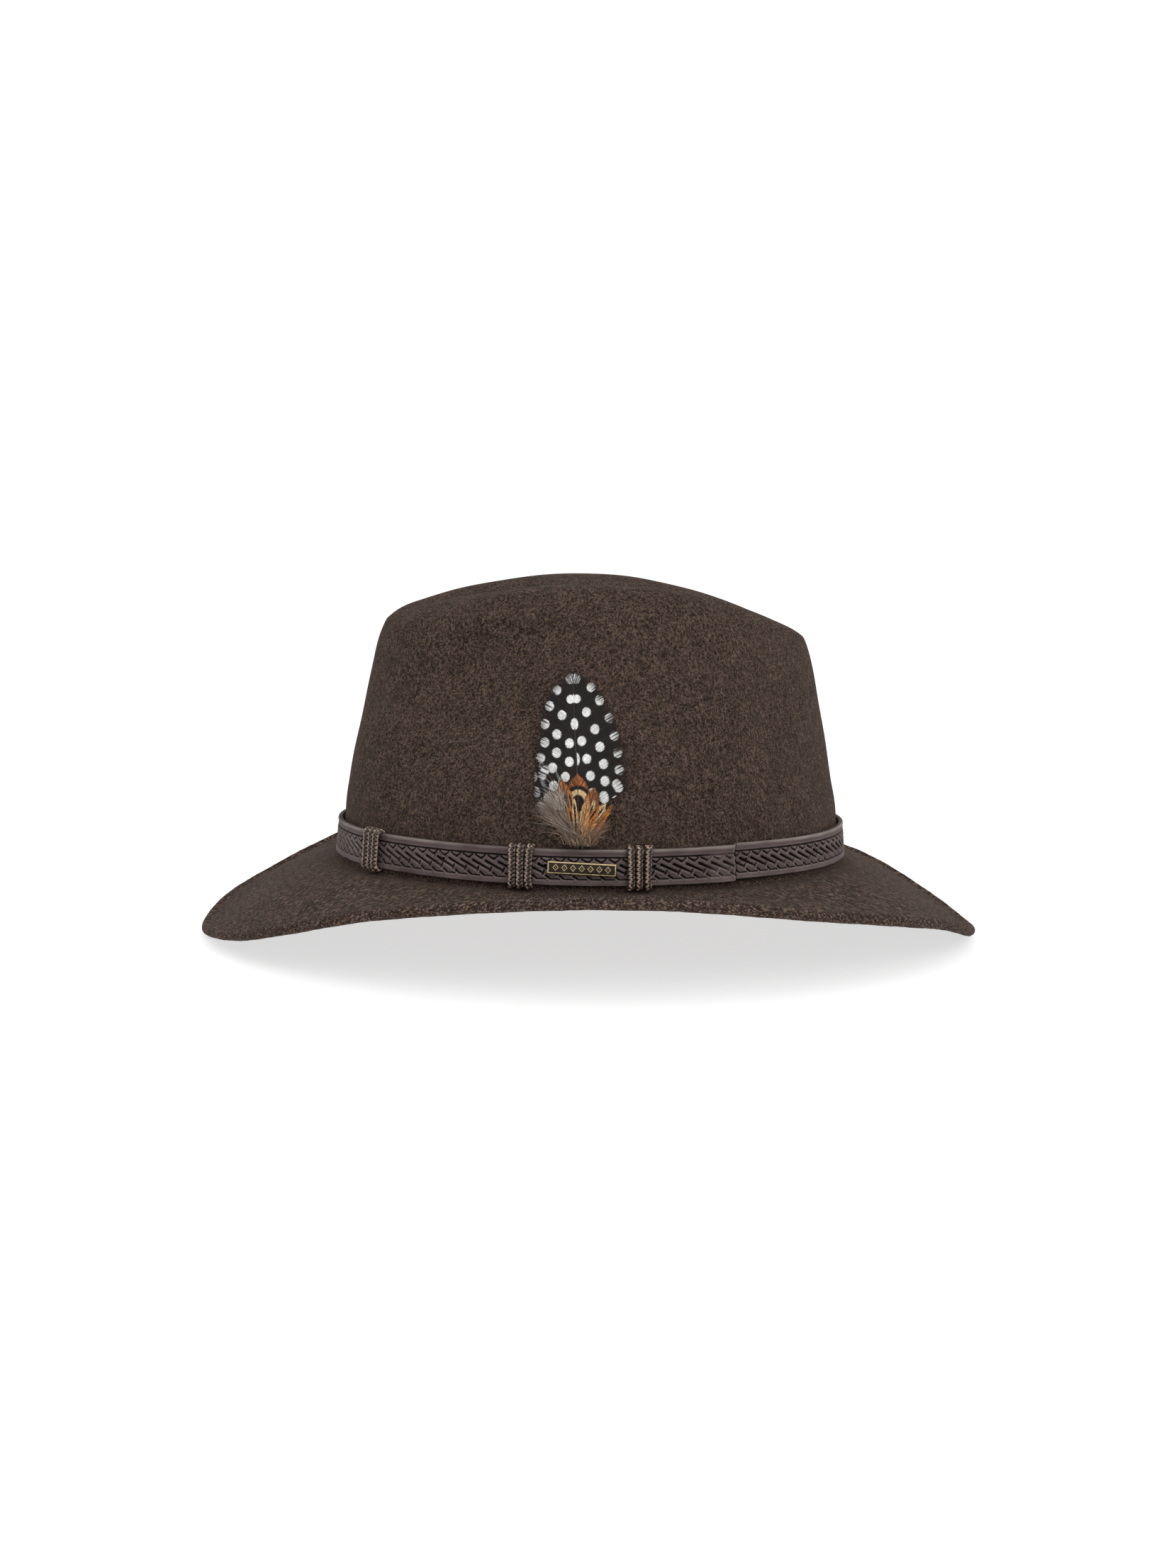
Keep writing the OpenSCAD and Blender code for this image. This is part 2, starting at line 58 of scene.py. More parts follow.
def fold(t):
    return np.degrees(np.arccos(np.clip(np.abs(np.cos(np.radians(t))), 0, 1)))


def oval(t, d):
    c, s = np.cos(np.radians(t)), np.sin(np.radians(t))
    side = fold(t) < JOIN_A
    x = np.where(side, -np.sign(c) * SX + (SIDE_R + d) * c, (END_R + d) * c)
    y = np.where(side, (SIDE_R + d) * s, np.sign(s) * EY + (END_R + d) * s)
    return x, y


def ramp(x, a, b):
    t = np.clip((x - a) / (b - a), 0, 1)
    return t * t * (3 - 2 * t)


def lerp(a, b, t):
    return a * (1 - t) + b * t


def smin(a, b, k):
    h = np.clip(0.5 + 0.5 * (b - a) / k, 0, 1)
    return lerp(b, a, h) - k * h * (1 - h)


def strap_line(z):
    return STRAP_OUT - STRAP_T - GAP - STRAP_IN / STRAP_H * (z - STRAP_Z)


def wall_raw(z, t):
    s = np.sin(np.radians(t))
    side = 2.0 - 0.16 * z - 0.0004 * z * z
    front = 2.0 - 0.125 * z - 0.0006 * z * z
    back = 2.3 - 0.17 * z - 0.00012 * z * z
    w = lerp(side, np.where(s < 0, front, back), s * s)
    return lerp(strap_line(z), w, ramp(z, STRAP_Z + STRAP_H, STRAP_Z + STRAP_H + 17))


def pinch(y, z):
    dy, dz = y + 48, z - 84
    a, c = -0.914 * dy - 0.405 * dz, 0.405 * dy - 0.914 * dz
    w = np.where(c < 0, np.exp(-c * c / 260), np.exp(-c * c / 1300))
    return PINCH * np.exp(-a * a / 1900) * w * ramp(z, 30, 66)


def top_h(x, y):
    ridge = CROWN_H - np.where(y < 0, RIDGE_F, RIDGE_B) * y * y
    half = RIDGE_X - np.where(y < 8, 0.0048, 0.0052) * (y - 8) ** 2
    r = np.maximum(9, half)
    ax = np.abs(x)
    crease = CREASE * ramp(y, -104, -30) * (1 - ramp(y, 22, 84))
    return ridge - np.where(ax < r, crease * (1 - ramp(ax, 0, r)), 0.009 * (ax - r) ** 2)


def wall_pt(z, t):
    d0 = wall_raw(z, t)
    x0, y0 = oval(t, d0)
    q = pinch(y0, z) * (0.25 + 0.75 * (1 - ramp(fold(t), 70, 90)))
    x, y = oval(t, d0 - q)
    return np.stack([x, y, smin(z + 0 * x, top_h(x, y), CORNER_K)], -1)


WALL_TOP = 104.0


def top_pt(s, t):
    p = wall_pt(WALL_TOP, t)
    x, y = p[..., 0] * s, p[..., 1] * s
    return np.stack([x, y, smin(WALL_TOP + (1 - s) * 180 + 0 * x, top_h(x, y), CORNER_K)], -1)


EDGE_F = [-3.5, 6.0, -2.1, -18.9, -25.4, -29.2, -25.4]
EDGE_B = [-2.1, 6.0, -3.5, -15.6, -25.1, -29.3, -25.1]


def edge_z(t):
    t = np.asarray(t, float)
    a = fold(t)
    f = np.sin(np.radians(t)) < 0
    st = np.array([-30, 0, 30, 54, 72, 90, 108.0])
    k = np.where(f[..., None], np.array(EDGE_F), np.array(EDGE_B))
    i = np.where(a < 30, 1, np.where(a < 54, 2, np.where(a < 72, 3, 4)))
    pick = lambda n: np.take_along_axis(k, (i + n)[..., None], -1)[..., 0]
    h, h0, h2 = st[i + 1] - st[i], st[i] - st[i - 1], st[i + 2] - st[i + 1]
    w = (a - st[i]) / h
    k0, k1, k2, k3 = pick(-1), pick(0), pick(1), pick(2)
    m0 = ((k2 - k1) / h * h0 + (k1 - k0) / h0 * h) / (h + h0) * h
    m1 = ((k3 - k2) / h2 * h + (k2 - k1) / h * h2) / (h + h2) * h
    return (1 + 2 * w) * (1 - w) ** 2 * k1 + w * (1 - w) ** 2 * m0 + w * w * (3 - 2 * w) * k2 + w * w * (w - 1) * m1


def edge_w(t):
    return BRIM_W - 0.2 * np.sin(np.radians(t))


def brim_z(u, t):
    c = np.cos(np.radians(t))
    return (edge_z(t) + 0.6) * u ** (1.25 + 0.85 * c * c) - 0.9 * c * c * np.sin(np.pi * u)


def slope(t):
    return np.degrees(np.arctan2(brim_z(0.98, t) - brim_z(0.94, t), 0.04 * edge_w(t)))


REST_Z = min(EDGE_F[5], EDGE_B[5]) - EDGE_R + 0.75


# ------------------------------------------------------------------ mesh building
def quads(rows, cols, wrap_u=True, wrap_v=False, base=0, flip=False):
    i = np.arange(rows if wrap_v else rows - 1)
    j = np.arange(cols if wrap_u else cols - 1)
    I, J = np.meshgrid(i, j, indexing="ij")
    a, b = I * cols + J, I * cols + (J + 1) % cols
    c, d = ((I + 1) % rows) * cols + (J + 1) % cols, ((I + 1) % rows) * cols + J
    q = np.stack([a, b, c, d], -1).reshape(-1, 4) + base
    return q[:, ::-1] if flip else q


def make(name, v, faces, mats, body, replaces=(), slot=None, smooth=True, attrs=None, angle=None):
    """Builds one piece from vertices in millimetres and a list of face arrays."""
    v = np.asarray(v, float) * MM
    me = bpy.data.meshes.new(name)
    faces = [np.asarray(f) for f in faces if len(f)]
    loops = np.concatenate([f.ravel() for f in faces]).astype(np.int32)
    totals = np.concatenate([np.full(len(f), f.shape[1]) for f in faces])
    starts = np.concatenate([[0], np.cumsum(totals)[:-1]]).astype(np.int32)
    me.vertices.add(len(v))
    me.vertices.foreach_set("co", v.astype(np.float32).ravel())
    me.loops.add(len(loops))
    me.loops.foreach_set("vertex_index", loops)
    me.polygons.add(len(totals))
    me.polygons.foreach_set("loop_start", starts)
    me.update(calc_edges=True)
    me.polygons.foreach_set("use_smooth", np.full(len(totals), bool(smooth)))
    for k, a in (attrs or {}).items():
        a = np.asarray(a, np.float32)
        if a.ndim == 1:
            me.attributes.new(k, "FLOAT", "POINT").data.foreach_set("value", a)
        else:
            rgba = np.ones((len(a), 4), np.float32)
            rgba[:, :3] = a
            me.color_attributes.new(k, "FLOAT_COLOR", "POINT").data.foreach_set("color", rgba.ravel())
    for m in mats if isinstance(mats, (list, tuple)) else [mats]:
        me.materials.append(m)
    o = bpy.data.objects.new(name, me)
    bpy.context.scene.collection.objects.link(o)
    if smooth and angle:
        me.set_sharp_from_angle(angle=math.radians(angle))
    if body:
        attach(o, body)
    if replaces:
        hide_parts(*replaces)
    return o


class Heap:
    """Collects many small closed bits into one mesh."""

    def __init__(s):
        s.v, s.f, s.n, s.a = [], [], 0, {}

    def add(s, v, faces, **attrs):
        v = np.asarray(v, float).reshape(-1, 3)
        s.v.append(v)
        for f in faces:
            if len(f):
                s.f.append(np.asarray(f) + s.n)
        for k, a in attrs.items():
            s.a.setdefault(k, []).append(np.asarray(a, float))
        s.n += len(v)

    def done(s, *args, **kw):
        at = {k: np.concatenate(v) for k, v in s.a.items()}
        by = {}
        for f in s.f:
            by.setdefault(f.shape[1], []).append(f)
        return make(args[0], np.concatenate(s.v), [np.concatenate(x) for x in by.values()], *args[1:], attrs=at, **kw)


def frames(p, closed, up):
    """Tangent, normal and binormal along a path, normal kept near up."""
    t = np.roll(p, -1, 0) - np.roll(p, 1, 0) if closed else np.gradient(p, axis=0)
    t /= np.linalg.norm(t, axis=1)[:, None] + 1e-12
    n = up - (up * t).sum(-1)[:, None] * t
    n /= np.linalg.norm(n, axis=1)[:, None] + 1e-12
    return t, n, np.cross(t, n)


def tube(p, r, up, sides=8, closed=False, flat=1.0):
    """(verts, faces) of a round tube along a path; flat squeezes it along up."""
    p = np.asarray(p, float)
    r = np.broadcast_to(np.asarray(r, float), (len(p),))
    flat = np.broadcast_to(np.asarray(flat, float), (len(p),))
    t, n, b = frames(p, closed, np.broadcast_to(np.asarray(up, float), p.shape))
    a = np.arange(sides) * 2 * np.pi / sides
    v = p[:, None] + r[:, None, None] * (np.cos(a)[None, :, None] * n[:, None] * flat[:, None, None] + np.sin(a)[None, :, None] * b[:, None])
    f = [quads(len(p), sides, True, closed)[:, ::-1]]
    if not closed:
        f.append(np.arange(sides)[None, ::1])
        f.append((np.arange(sides) + (len(p) - 1) * sides)[None, ::-1])
    return v.reshape(-1, 3), f


def ribbons(p, n, w, t):
    """Many thin three-sided strips at once. p, n: (count, steps, 3); w: widths (count, steps); t: ridge height."""
    p, n = np.asarray(p, float), np.asarray(n, float)
    c, k = p.shape[:2]
    tan = np.gradient(p, axis=1)
    b = np.cross(tan, n)
    b /= np.linalg.norm(b, axis=-1)[..., None] + 1e-12
    w = np.broadcast_to(w, (c, k))[..., None]
    t = np.broadcast_to(t, (c, k))[..., None]
    v = np.stack([p - b * w / 2, p + n * t, p + b * w / 2], 2)
    base = (np.arange(c) * k * 3)[:, None, None]
    i = (np.arange(k - 1) * 3)[None, :, None]
    m = np.arange(3)[None, None, :]
    m2 = (m + 1) % 3
    q = np.stack([base + i + m, base + i + m2, base + i + 3 + m2, base + i + 3 + m], -1).reshape(-1, 4)
    e = (np.arange(c) * k * 3)[:, None]
    caps = np.concatenate([e + np.array([[2, 1, 0]]), e + (k - 1) * 3 + np.array([[0, 1, 2]])])
    return v.reshape(-1, 3), [q, caps]


def place(t, d, z, lean=0.0):
    """4x4 from the local frame on the oval: +X outward, +Y toward the back, +Z up."""
    x, y = oval(np.array(float(t)), d)
    return Matrix.Translation((float(x), float(y), z)) @ Matrix.Rotation(math.radians(t), 4, "Z") @ Matrix.Rotation(-lean, 4, "Y")


def xf(m, v):
    a = np.array(m, float)
    v = np.asarray(v, float)
    return v @ a[:3, :3].T + a[:3, 3]


def rot(m, v):
    return np.asarray(v, float) @ np.array(m, float)[:3, :3].T


# ------------------------------------------------------------------ material nodes
class Mat:
    def __init__(s, name, rough=0.8, spec=0.5, metal=0.0):
        s.m = bpy.data.materials.new(name)
        s.m.use_nodes = True
        s.t = s.m.node_tree
        s.t.nodes.clear()
        s.out = s.t.nodes.new("ShaderNodeOutputMaterial")
        s.b = s.t.nodes.new("ShaderNodeBsdfPrincipled")
        s.t.links.new(s.b.outputs[0], s.out.inputs[0])
        s.put(s.b, "Roughness", rough)
        s.put(s.b, "Specular IOR Level", spec)
        s.put(s.b, "Metallic", metal)

    def put(s, node, key, val):
        if isinstance(val, bpy.types.Node):
            val = val.outputs[0]
        if isinstance(val, bpy.types.NodeSocket):
            s.t.links.new(val, node.inputs[key])
        elif isinstance(val, (tuple, list)) and len(val) == 3 and node.inputs[key].type == "RGBA":
            node.inputs[key].default_value = (*val, 1)
        else:
            node.inputs[key].default_value = val

    def n(s, kind, ins=None, **props):
        node = s.t.nodes.new(kind)
        for k, v in props.items():
            setattr(node, k, v)
        for k, v in (ins or {}).items():
            s.put(node, k, v)
        return node

    def pos(s, scale=(1, 1, 1), rot=(0, 0, 0), loc=(0, 0, 0)):
        c = s.n("ShaderNodeTexCoord")
        return s.n("ShaderNodeMapping", {"Vector": c.outputs["Object"], "Scale": scale, "Rotation": [math.radians(a) for a in rot], "Location": loc})

    def noise(s, vec, scale, detail=3.0, rough=0.55, dist=0.0):
        return s.n("ShaderNodeTexNoise", {"Vector": vec, "Scale": scale, "Detail": detail, "Roughness": rough, "Distortion": dist})

    def math(s, op, a, b=0.0, clamp=False):
        return s.n("ShaderNodeMath", {0: a, 1: b}, operation=op, use_clamp=clamp)

    def step(s, x, lo, hi, a=0.0, b=1.0):
        return s.n("ShaderNodeMapRange", {"Value": x, "From Min": lo, "From Max": hi, "To Min": a, "To Max": b}, interpolation_type="SMOOTHSTEP")

    def mix(s, f, a, b, mode="MIX"):
        m = s.n("ShaderNodeMix", data_type="RGBA", blend_type=mode)
        s.put(m, 0, f)
        s.put(m, 6, a)
        s.put(m, 7, b)
        return m.outputs[2]

    def bump(s, h, strength=0.5, dist=0.0002, normal=None):
        d = {"Height": h, "Strength": strength, "Distance": dist}
        if normal is not None:
            d["Normal"] = normal
        return s.n("ShaderNodeBump", d)

    def attr(s, name):
        return s.n("ShaderNodeAttribute", attribute_name=name)

    def base(s, c):
        s.put(s.b, "Base Color", c)

    def sheen(s, w, r=0.4, tint=(1, 1, 1)):
        s.put(s.b, "Sheen Weight", w)
        s.put(s.b, "Sheen Roughness", r)
        s.put(s.b, "Sheen Tint", tint)


def lin(r, g, b):
    """sRGB 0-255 to linear."""
    f = lambda c: c / 12.92 if c <= 0.04045 else ((c + 0.055) / 1.055) ** 2.4
    return tuple(f(x / 255) for x in (r, g, b))


def felt_material():
    m = Mat("felt_heather", rough=0.95, spec=0.06)
    c0 = m.n("ShaderNodeTexCoord")

    def fibres(rot, k, length=2.7, width=0.56):
        # stretched noise lying along one direction, in metres
        mp = m.n("ShaderNodeMapping", {"Vector": c0.outputs["Object"], "Location": (k * 0.031, k * 0.017, k * 0.023), "Rotation": [math.radians(a) for a in rot],
                                       "Scale": (length * MM, width * MM, width * MM)}, vector_type="TEXTURE")
        return m.noise(mp, 1.0, 1.0, 0.5, 0.25)

    dirs = [(0, 12, 78), (0, -38, 84), (8, 38, 96), (0, 80, 20), (0, 5, 40), (0, -8, 132), (14, 60, 100), (-12, -64, 70)]
    tan = grey = dark = None
    for i, r in enumerate(dirs):
        nz = fibres(r, i)
        l = m.step(nz, 0.582, 0.685)
        if i % 3 == 2:
            grey = l if grey is None else m.math("MAXIMUM", grey, l)
        else:
            tan = l if tan is None else m.math("MAXIMUM", tan, l)
        d = m.step(nz, 0.40, 0.30)
        dark = d if dark is None else m.math("MAXIMUM", dark, d)
    # on the brim the nap is brushed outward from the crown
    nap = m.attr("nap").outputs["Vector"]
    flat = m.attr("brim").outputs["Fac"]
    b1 = m.noise(nap, 1280, 2, 0.6, 0.8)
    b2 = m.noise(nap, 1700, 1, 0.5, 0.6)
    b3 = m.noise(nap, 1040, 2, 0.5, 0.4)
    tan = m.mix(flat, tan, m.step(b1, 0.505, 0.62))
    grey = m.mix(flat, grey, m.step(b2, 0.52, 0.64))
    dark = m.mix(flat, dark, m.step(b3, 0.46, 0.34))
    grain = m.noise(m.pos(), 1150, 2, 0.6)
    broad = m.noise(m.pos(), 38, 3, 0.55)
    patch = m.noise(m.pos(), 150, 2, 0.5)
    c = m.mix(m.step(grain, 0.34, 0.66), lin(27, 19, 18), lin(50, 39, 35))
    c = m.mix(m.math("MULTIPLY", grey, 0.50), c, lin(86, 74, 70))
    # the brim takes more of the pale tan fibres than the crown: the brushed nap, plus painted light for its upward face
    c = m.mix(m.math("MULTIPLY", tan, m.math("MAXIMUM", m.step(patch, 0.3, 0.7, 0.48, 0.72), m.math("MULTIPLY", flat, 0.90))), c, lin(109, 90, 77))
    c = m.mix(m.math("MULTIPLY", dark, 0.50), c, lin(22, 16, 16))
    c = m.mix(m.step(broad, 0.3, 0.7, 0.0, 0.08), c, lin(92, 78, 68))
    m.base(c)
    m.sheen(0.035, 0.5, (0.8, 0.7, 0.6))
    h = m.math("ADD", m.math("MULTIPLY", tan, 0.6), m.math("SUBTRACT", grain, m.math("MULTIPLY", dark, 0.5)))
    m.put(m.b, "Normal", m.bump(h, 0.5, 0.0003))
    return m.m


def leather_material(name, base, light, dark, rough=0.42, grain=900, coat=0.0, edge=None, spec=0.5):
    m = Mat(name, rough=rough, spec=spec)
    cells = m.n("ShaderNodeTexVoronoi", {"Vector": m.pos(), "Scale": grain}, feature="DISTANCE_TO_EDGE")
    pore = m.noise(m.pos(), grain * 1.7, 2, 0.5)
    tone = m.noise(m.pos(), 60, 4, 0.6)
    c = m.mix(m.step(tone, 0.3, 0.7), base, light)
    c = m.mix(m.step(cells.outputs["Distance"], 0.10, 0.0, 0.0, 0.35), c, dark)
    if edge is not None:
        # the edge colour stands for rubbed wear plus painted highlight, the dark colour for pressed recesses plus
        # painted shadow
        c = m.mix(m.attr("wear_and_highlight").outputs["Fac"], c, edge)
        c = m.mix(m.attr("groove_and_shadow").outputs["Fac"], c, dark)
    m.base(c)
    h = m.math("ADD", m.step(cells.outputs["Distance"], 0.0, 0.16), m.math("MULTIPLY", pore, 0.4))
    m.put(m.b, "Roughness", m.step(tone, 0.2, 0.8, rough - 0.07, rough + 0.1))
    m.put(m.b, "Normal", m.bump(h, 0.25, 0.00012))
    if coat:
        m.put(m.b, "Coat Weight", coat)
        m.put(m.b, "Coat Roughness", 0.3)
    return m.m


def thread_material(name, base, light, scale=2600, rough=0.7):
    m = Mat(name, rough=rough, spec=0.35)
    a = m.noise(m.pos((1, 1, 1)), scale, 2, 0.6)
    b = m.noise(m.pos(), 240, 2, 0.5)
    c = m.mix(m.step(a, 0.35, 0.7), base, light)
    c = m.mix(m.step(b, 0.35, 0.7, 0, 0.4), c, base)
    m.base(c)
    m.sheen(0.2, 0.4, (0.9, 0.8, 0.7))
    m.put(m.b, "Normal", m.bump(a, 0.4, 0.00008))
    return m.m


def cord_material():
    m = Mat("waxed_braid", rough=0.42, spec=0.5)
    a = m.noise(m.pos(), 2400, 2, 0.6)
    b = m.noise(m.pos(), 300, 2, 0.5)
    # tone mixes from near black to pale tan: painted shade and painted highlight on the strands, over a random tone per
    # strand
    c = m.mix(m.attr("tone").outputs["Fac"], lin(12, 8, 7), lin(240, 206, 181))
    c = m.mix(m.step(a, 0.3, 0.7, 0, 0.30), c, lin(70, 56, 48))
    c = m.mix(m.step(b, 0.4, 0.7, 0, 0.20), c, lin(60, 47, 41))
    m.base(c)
    m.put(m.b, "Normal", m.bump(a, 0.4, 0.00008))
    return m.m


def brass_material():
    m = Mat("antique_brass", rough=0.34, spec=0.5, metal=1.0)
    n1 = m.noise(m.pos(), 900, 4, 0.6)
    n2 = m.noise(m.pos((200, 4000, 4000)), 1.0, 2, 0.5)
    c = m.mix(m.step(n1, 0.35, 0.75), (0.42, 0.32, 0.17), (0.74, 0.60, 0.36))
    c = m.mix(m.attr("recess").outputs["Fac"], c, (0.034, 0.028, 0.024))
    m.base(c)
    m.put(m.b, "Roughness", m.step(n1, 0.3, 0.8, 0.26, 0.5))
    m.put(m.b, "Normal", m.bump(m.math("ADD", n1, n2), 0.12, 0.00006))
    return m.m


def feather_material(name, gloss=0.5, sheen=0.3):
    m = Mat(name, rough=gloss, spec=0.2)
    n1 = m.noise(m.pos(), 1800, 2, 0.5)
    c = m.mix(m.step(n1, 0.3, 0.75, 0.0, 0.35), m.attr("tint").outputs["Color"], (0.0, 0.0, 0.0), "MULTIPLY")
    m.base(c)
    m.sheen(sheen, 0.4, (0.9, 0.85, 0.8))
    m.put(m.b, "Subsurface Weight", 0.0)
    m.put(m.b, "Normal", m.bump(n1, 0.2, 0.00005))
    return m.m


FELT = felt_material()
STRAP_LEATHER = leather_material("strap_leather", lin(84, 70, 71), lin(102, 87, 87), lin(12, 8, 9), 0.60, 1500, 0.0, edge=lin(136, 128, 120), spec=0.09)
SWEAT_LEATHER = leather_material("sweatband_leather", lin(126, 88, 58), lin(146, 106, 72), lin(70, 45, 28), 0.5, 1100)
CORD = cord_material()
THREAD = thread_material("sweatband_thread", lin(150, 122, 88), lin(196, 170, 130))
STRAP_THREAD = thread_material("strap_thread", lin(48, 40, 38), lin(86, 74, 68))
RIBBON = thread_material("grosgrain_ribbon", lin(34, 27, 25), lin(58, 48, 44), 1800)
LABEL = thread_material("label_tape", lin(214, 208, 194), lin(236, 232, 222), 2200)
BACKING = thread_material("backing_felt", lin(46, 38, 34), lin(74, 62, 56), 1200, 0.9)
BINDING = thread_material("binding_thread", lin(24, 20, 19), lin(60, 52, 48), 2600)
REED = thread_material("reed_tape", lin(34, 28, 26), lin(56, 47, 43), 1400)
BRASS = brass_material()
GUINEA = feather_material("guinea_feather", 0.6, 0.04)
PHEASANT = feather_material("pheasant_feather", 0.5, 0.06)
DOWN = feather_material("down", 0.8, 0.5)


def wire_material():
    m = Mat("spring_wire", rough=0.35, metal=1.0)
    n1 = m.noise(m.pos((600, 600, 600)), 3.0, 3, 0.6)
    m.base(m.mix(m.step(n1, 0.3, 0.7), (0.36, 0.36, 0.37), (0.56, 0.56, 0.57)))
    m.put(m.b, "Normal", m.bump(n1, 0.1, 0.00005))
    return m.m


WIRE = wire_material()

for name, m in (("brim_wire", WIRE), ("badge_post_washers", BRASS), ("strap_lap_stitches", STRAP_THREAD)):
    me = nodes[name].data
    me.materials.clear()
    me.materials.append(m)

rng = np.random.default_rng(SEED)


# ------------------------------------------------------------------ felt body
def smooth_noise(x, y, seed, n=6):
    """Sum of a few sine waves, between about -1 and 1."""
    r = np.random.default_rng(seed)
    out = 0
    for _ in range(n):
        kx, ky, p = r.normal(0, 1), r.normal(0, 1), r.uniform(0, 6.28)
        out = out + np.sin(kx * x + ky * y + p)
    return out / n ** 0.5


def build_felt():
    cols = 352
    t = np.arange(cols) * 360 / cols
    rows = []
    for s in np.concatenate([np.linspace(0.012, 0.70, 22), np.linspace(0.72, 0.99, 20)]):
        rows.append(top_pt(s, t))
    zs = np.concatenate([np.linspace(104, 64, 34), np.linspace(62, 18, 28), [16, 14, 12, 10, 8, 6, 4.5, 3.3, 2.2]])
    for z in zs:
        rows.append(wall_pt(z, t))
    d0 = float(strap_line(2.2))
    for f in (0.14, 0.28, 0.43, 0.57, 0.72, 0.86):
        g = 1 - f
        x, y = oval(t, g * g * d0 + 2 * f * g * 0.1 + f * f * 0.05 * BRIM_W)
        rows.append(np.stack([x, y, g * g * 2.2 + f * f * brim_z(0.05, t)], -1))
    for u in np.linspace(0.05, 0.935, 40):
        x, y = oval(t, u * edge_w(t))
        rows.append(np.stack([x, y, brim_z(u, t)], -1))
    outer = np.array(rows)
    nr = len(outer)

    def normals(g):
        du = np.roll(g, -1, 1) - np.roll(g, 1, 1)
        dv = np.gradient(g, axis=0)
        n = np.cross(du, dv)
        return n / (np.linalg.norm(n, axis=-1)[..., None] + 1e-12)

    n = normals(outer)
    inner = outer + FELT_T * n
    # hand-blocked felt is never quite even
    z = outer[..., 2]
    amp = 0.42 * ramp(z, 17.5, 30) + 0.30 * ramp(np.hypot(outer[..., 0] / HALF_W, outer[..., 1] / HALF_L), 1.06, 1.2) * (z < 12)
    wave = 0.5 * smooth_noise(outer[..., 0] / 17, (outer[..., 1] + z) / 17, 4) + 0.5 * smooth_noise((outer[..., 1] - z) / 9, z / 8 + outer[..., 0] / 11, 8)
    off = -n * (amp * 0.6 * wave)[..., None]
    outer = outer + off
    inner = inner + off
    rows = list(outer)
    b = slope(t)
    for a, r in [(150, 0), (136, 0), (120, 0), (104, 0), (88, 0), (70, 0), (52, 0), (34, 0), (16, 0), (-2, 0), (-20, 0), (-38, 0), (-56, 0),
                 (-74, 0), (-92, 0), (-110, 0), (-128, 0), (-146, 0), (-150, 1), (-95, 1), (-30, 1), (40, 1), (100, 1), (155, 1)]:
        rad = EDGE_R if r == 0 else WIRE_D / 2 + 0.15
        aa = np.radians(a + b)
        x, y = oval(t, edge_w(t) + rad * np.cos(aa))
        zz = edge_z(t) + rad * np.sin(aa)
        if r == 0:
            zz = np.maximum(REST_Z, zz)
            k = 0.06 * np.sin(t * 0.9 + a * 0.05) + 0.05 * np.sin(t * 2.7 + 1)
            zz = np.maximum(REST_Z, zz + k)
        rows.append(np.stack([x, y, zz], -1))
    keep = list(range(nr - 1, 40, -2)) + list(range(39, -1, -3))
    rows += [inner[i] for i in keep]
    g = np.array(rows)
    v = g.reshape(-1, 3)
    apex = np.array([[0, 0, float(top_h(np.array(0.0), np.array(0.0)))]])
    v = np.concatenate([v, apex, apex - [[0, 0, FELT_T]]])
    k = len(g) * cols
    j = np.arange(cols)
    f3 = np.concatenate([np.stack([np.full(cols, k), j, (j + 1) % cols], -1),
                         np.stack([np.full(cols, k + 1), (len(g) - 1) * cols + (j + 1) % cols, (len(g) - 1) * cols + j], -1)])
    q = quads(len(g), cols, flip=True)
    # nap coordinates: round the hat, and outward along the profile
    a = np.radians(t)[None] + 0 * g[..., 0]
    dg = np.diff(g, axis=0)
    tilt = np.arctan2(np.abs(dg[..., 2]), np.hypot(dg[..., 0], dg[..., 1]))
    w = np.cumsum(np.concatenate([np.zeros((1, cols)), np.linalg.norm(dg, axis=-1) * np.clip(np.sin(tilt + 0.14), 0.28, 1)]), 0)
    nap = np.stack([110 * np.cos(a), 110 * np.sin(a), w], -1).reshape(-1, 3) * MM
    brim = (ramp(np.hypot(g[..., 0] / (HALF_W + 3), g[..., 1] / (HALF_L + 3)), 0.98, 1.06) * (g[..., 2] < 16)).ravel()
    make("felt_hat_body", v, [q, f3], FELT, "hat", ("felt_body",), "felt",
         attrs={"nap": np.concatenate([nap, nap[:2]]), "brim": np.concatenate([brim, [0, 0]])})


# ------------------------------------------------------------------ rings that follow the oval
def sweep(ts, prof):
    """prof: (len(ts), m, 2) closed sections of (distance outside, height)."""
    x, y = oval(ts[:, None], prof[..., 0])
    return np.stack([x, y, prof[..., 1]], -1)


SW_OUT = float(strap_line(2)) - FELT_T - 0.35
SWEAT_LINE = [(SW_OUT, 0.4), (SW_OUT - 1.08, 16.5)] + [(float(wall_raw(np.array(z), np.array(0.0))) - FELT_T - 0.45, z) for z in (22.0, 26.0, 30.0, 34.0)]


def sweat_d(z):
    p = np.array(SWEAT_LINE)
    return np.interp(z, p[:, 1], p[:, 0])


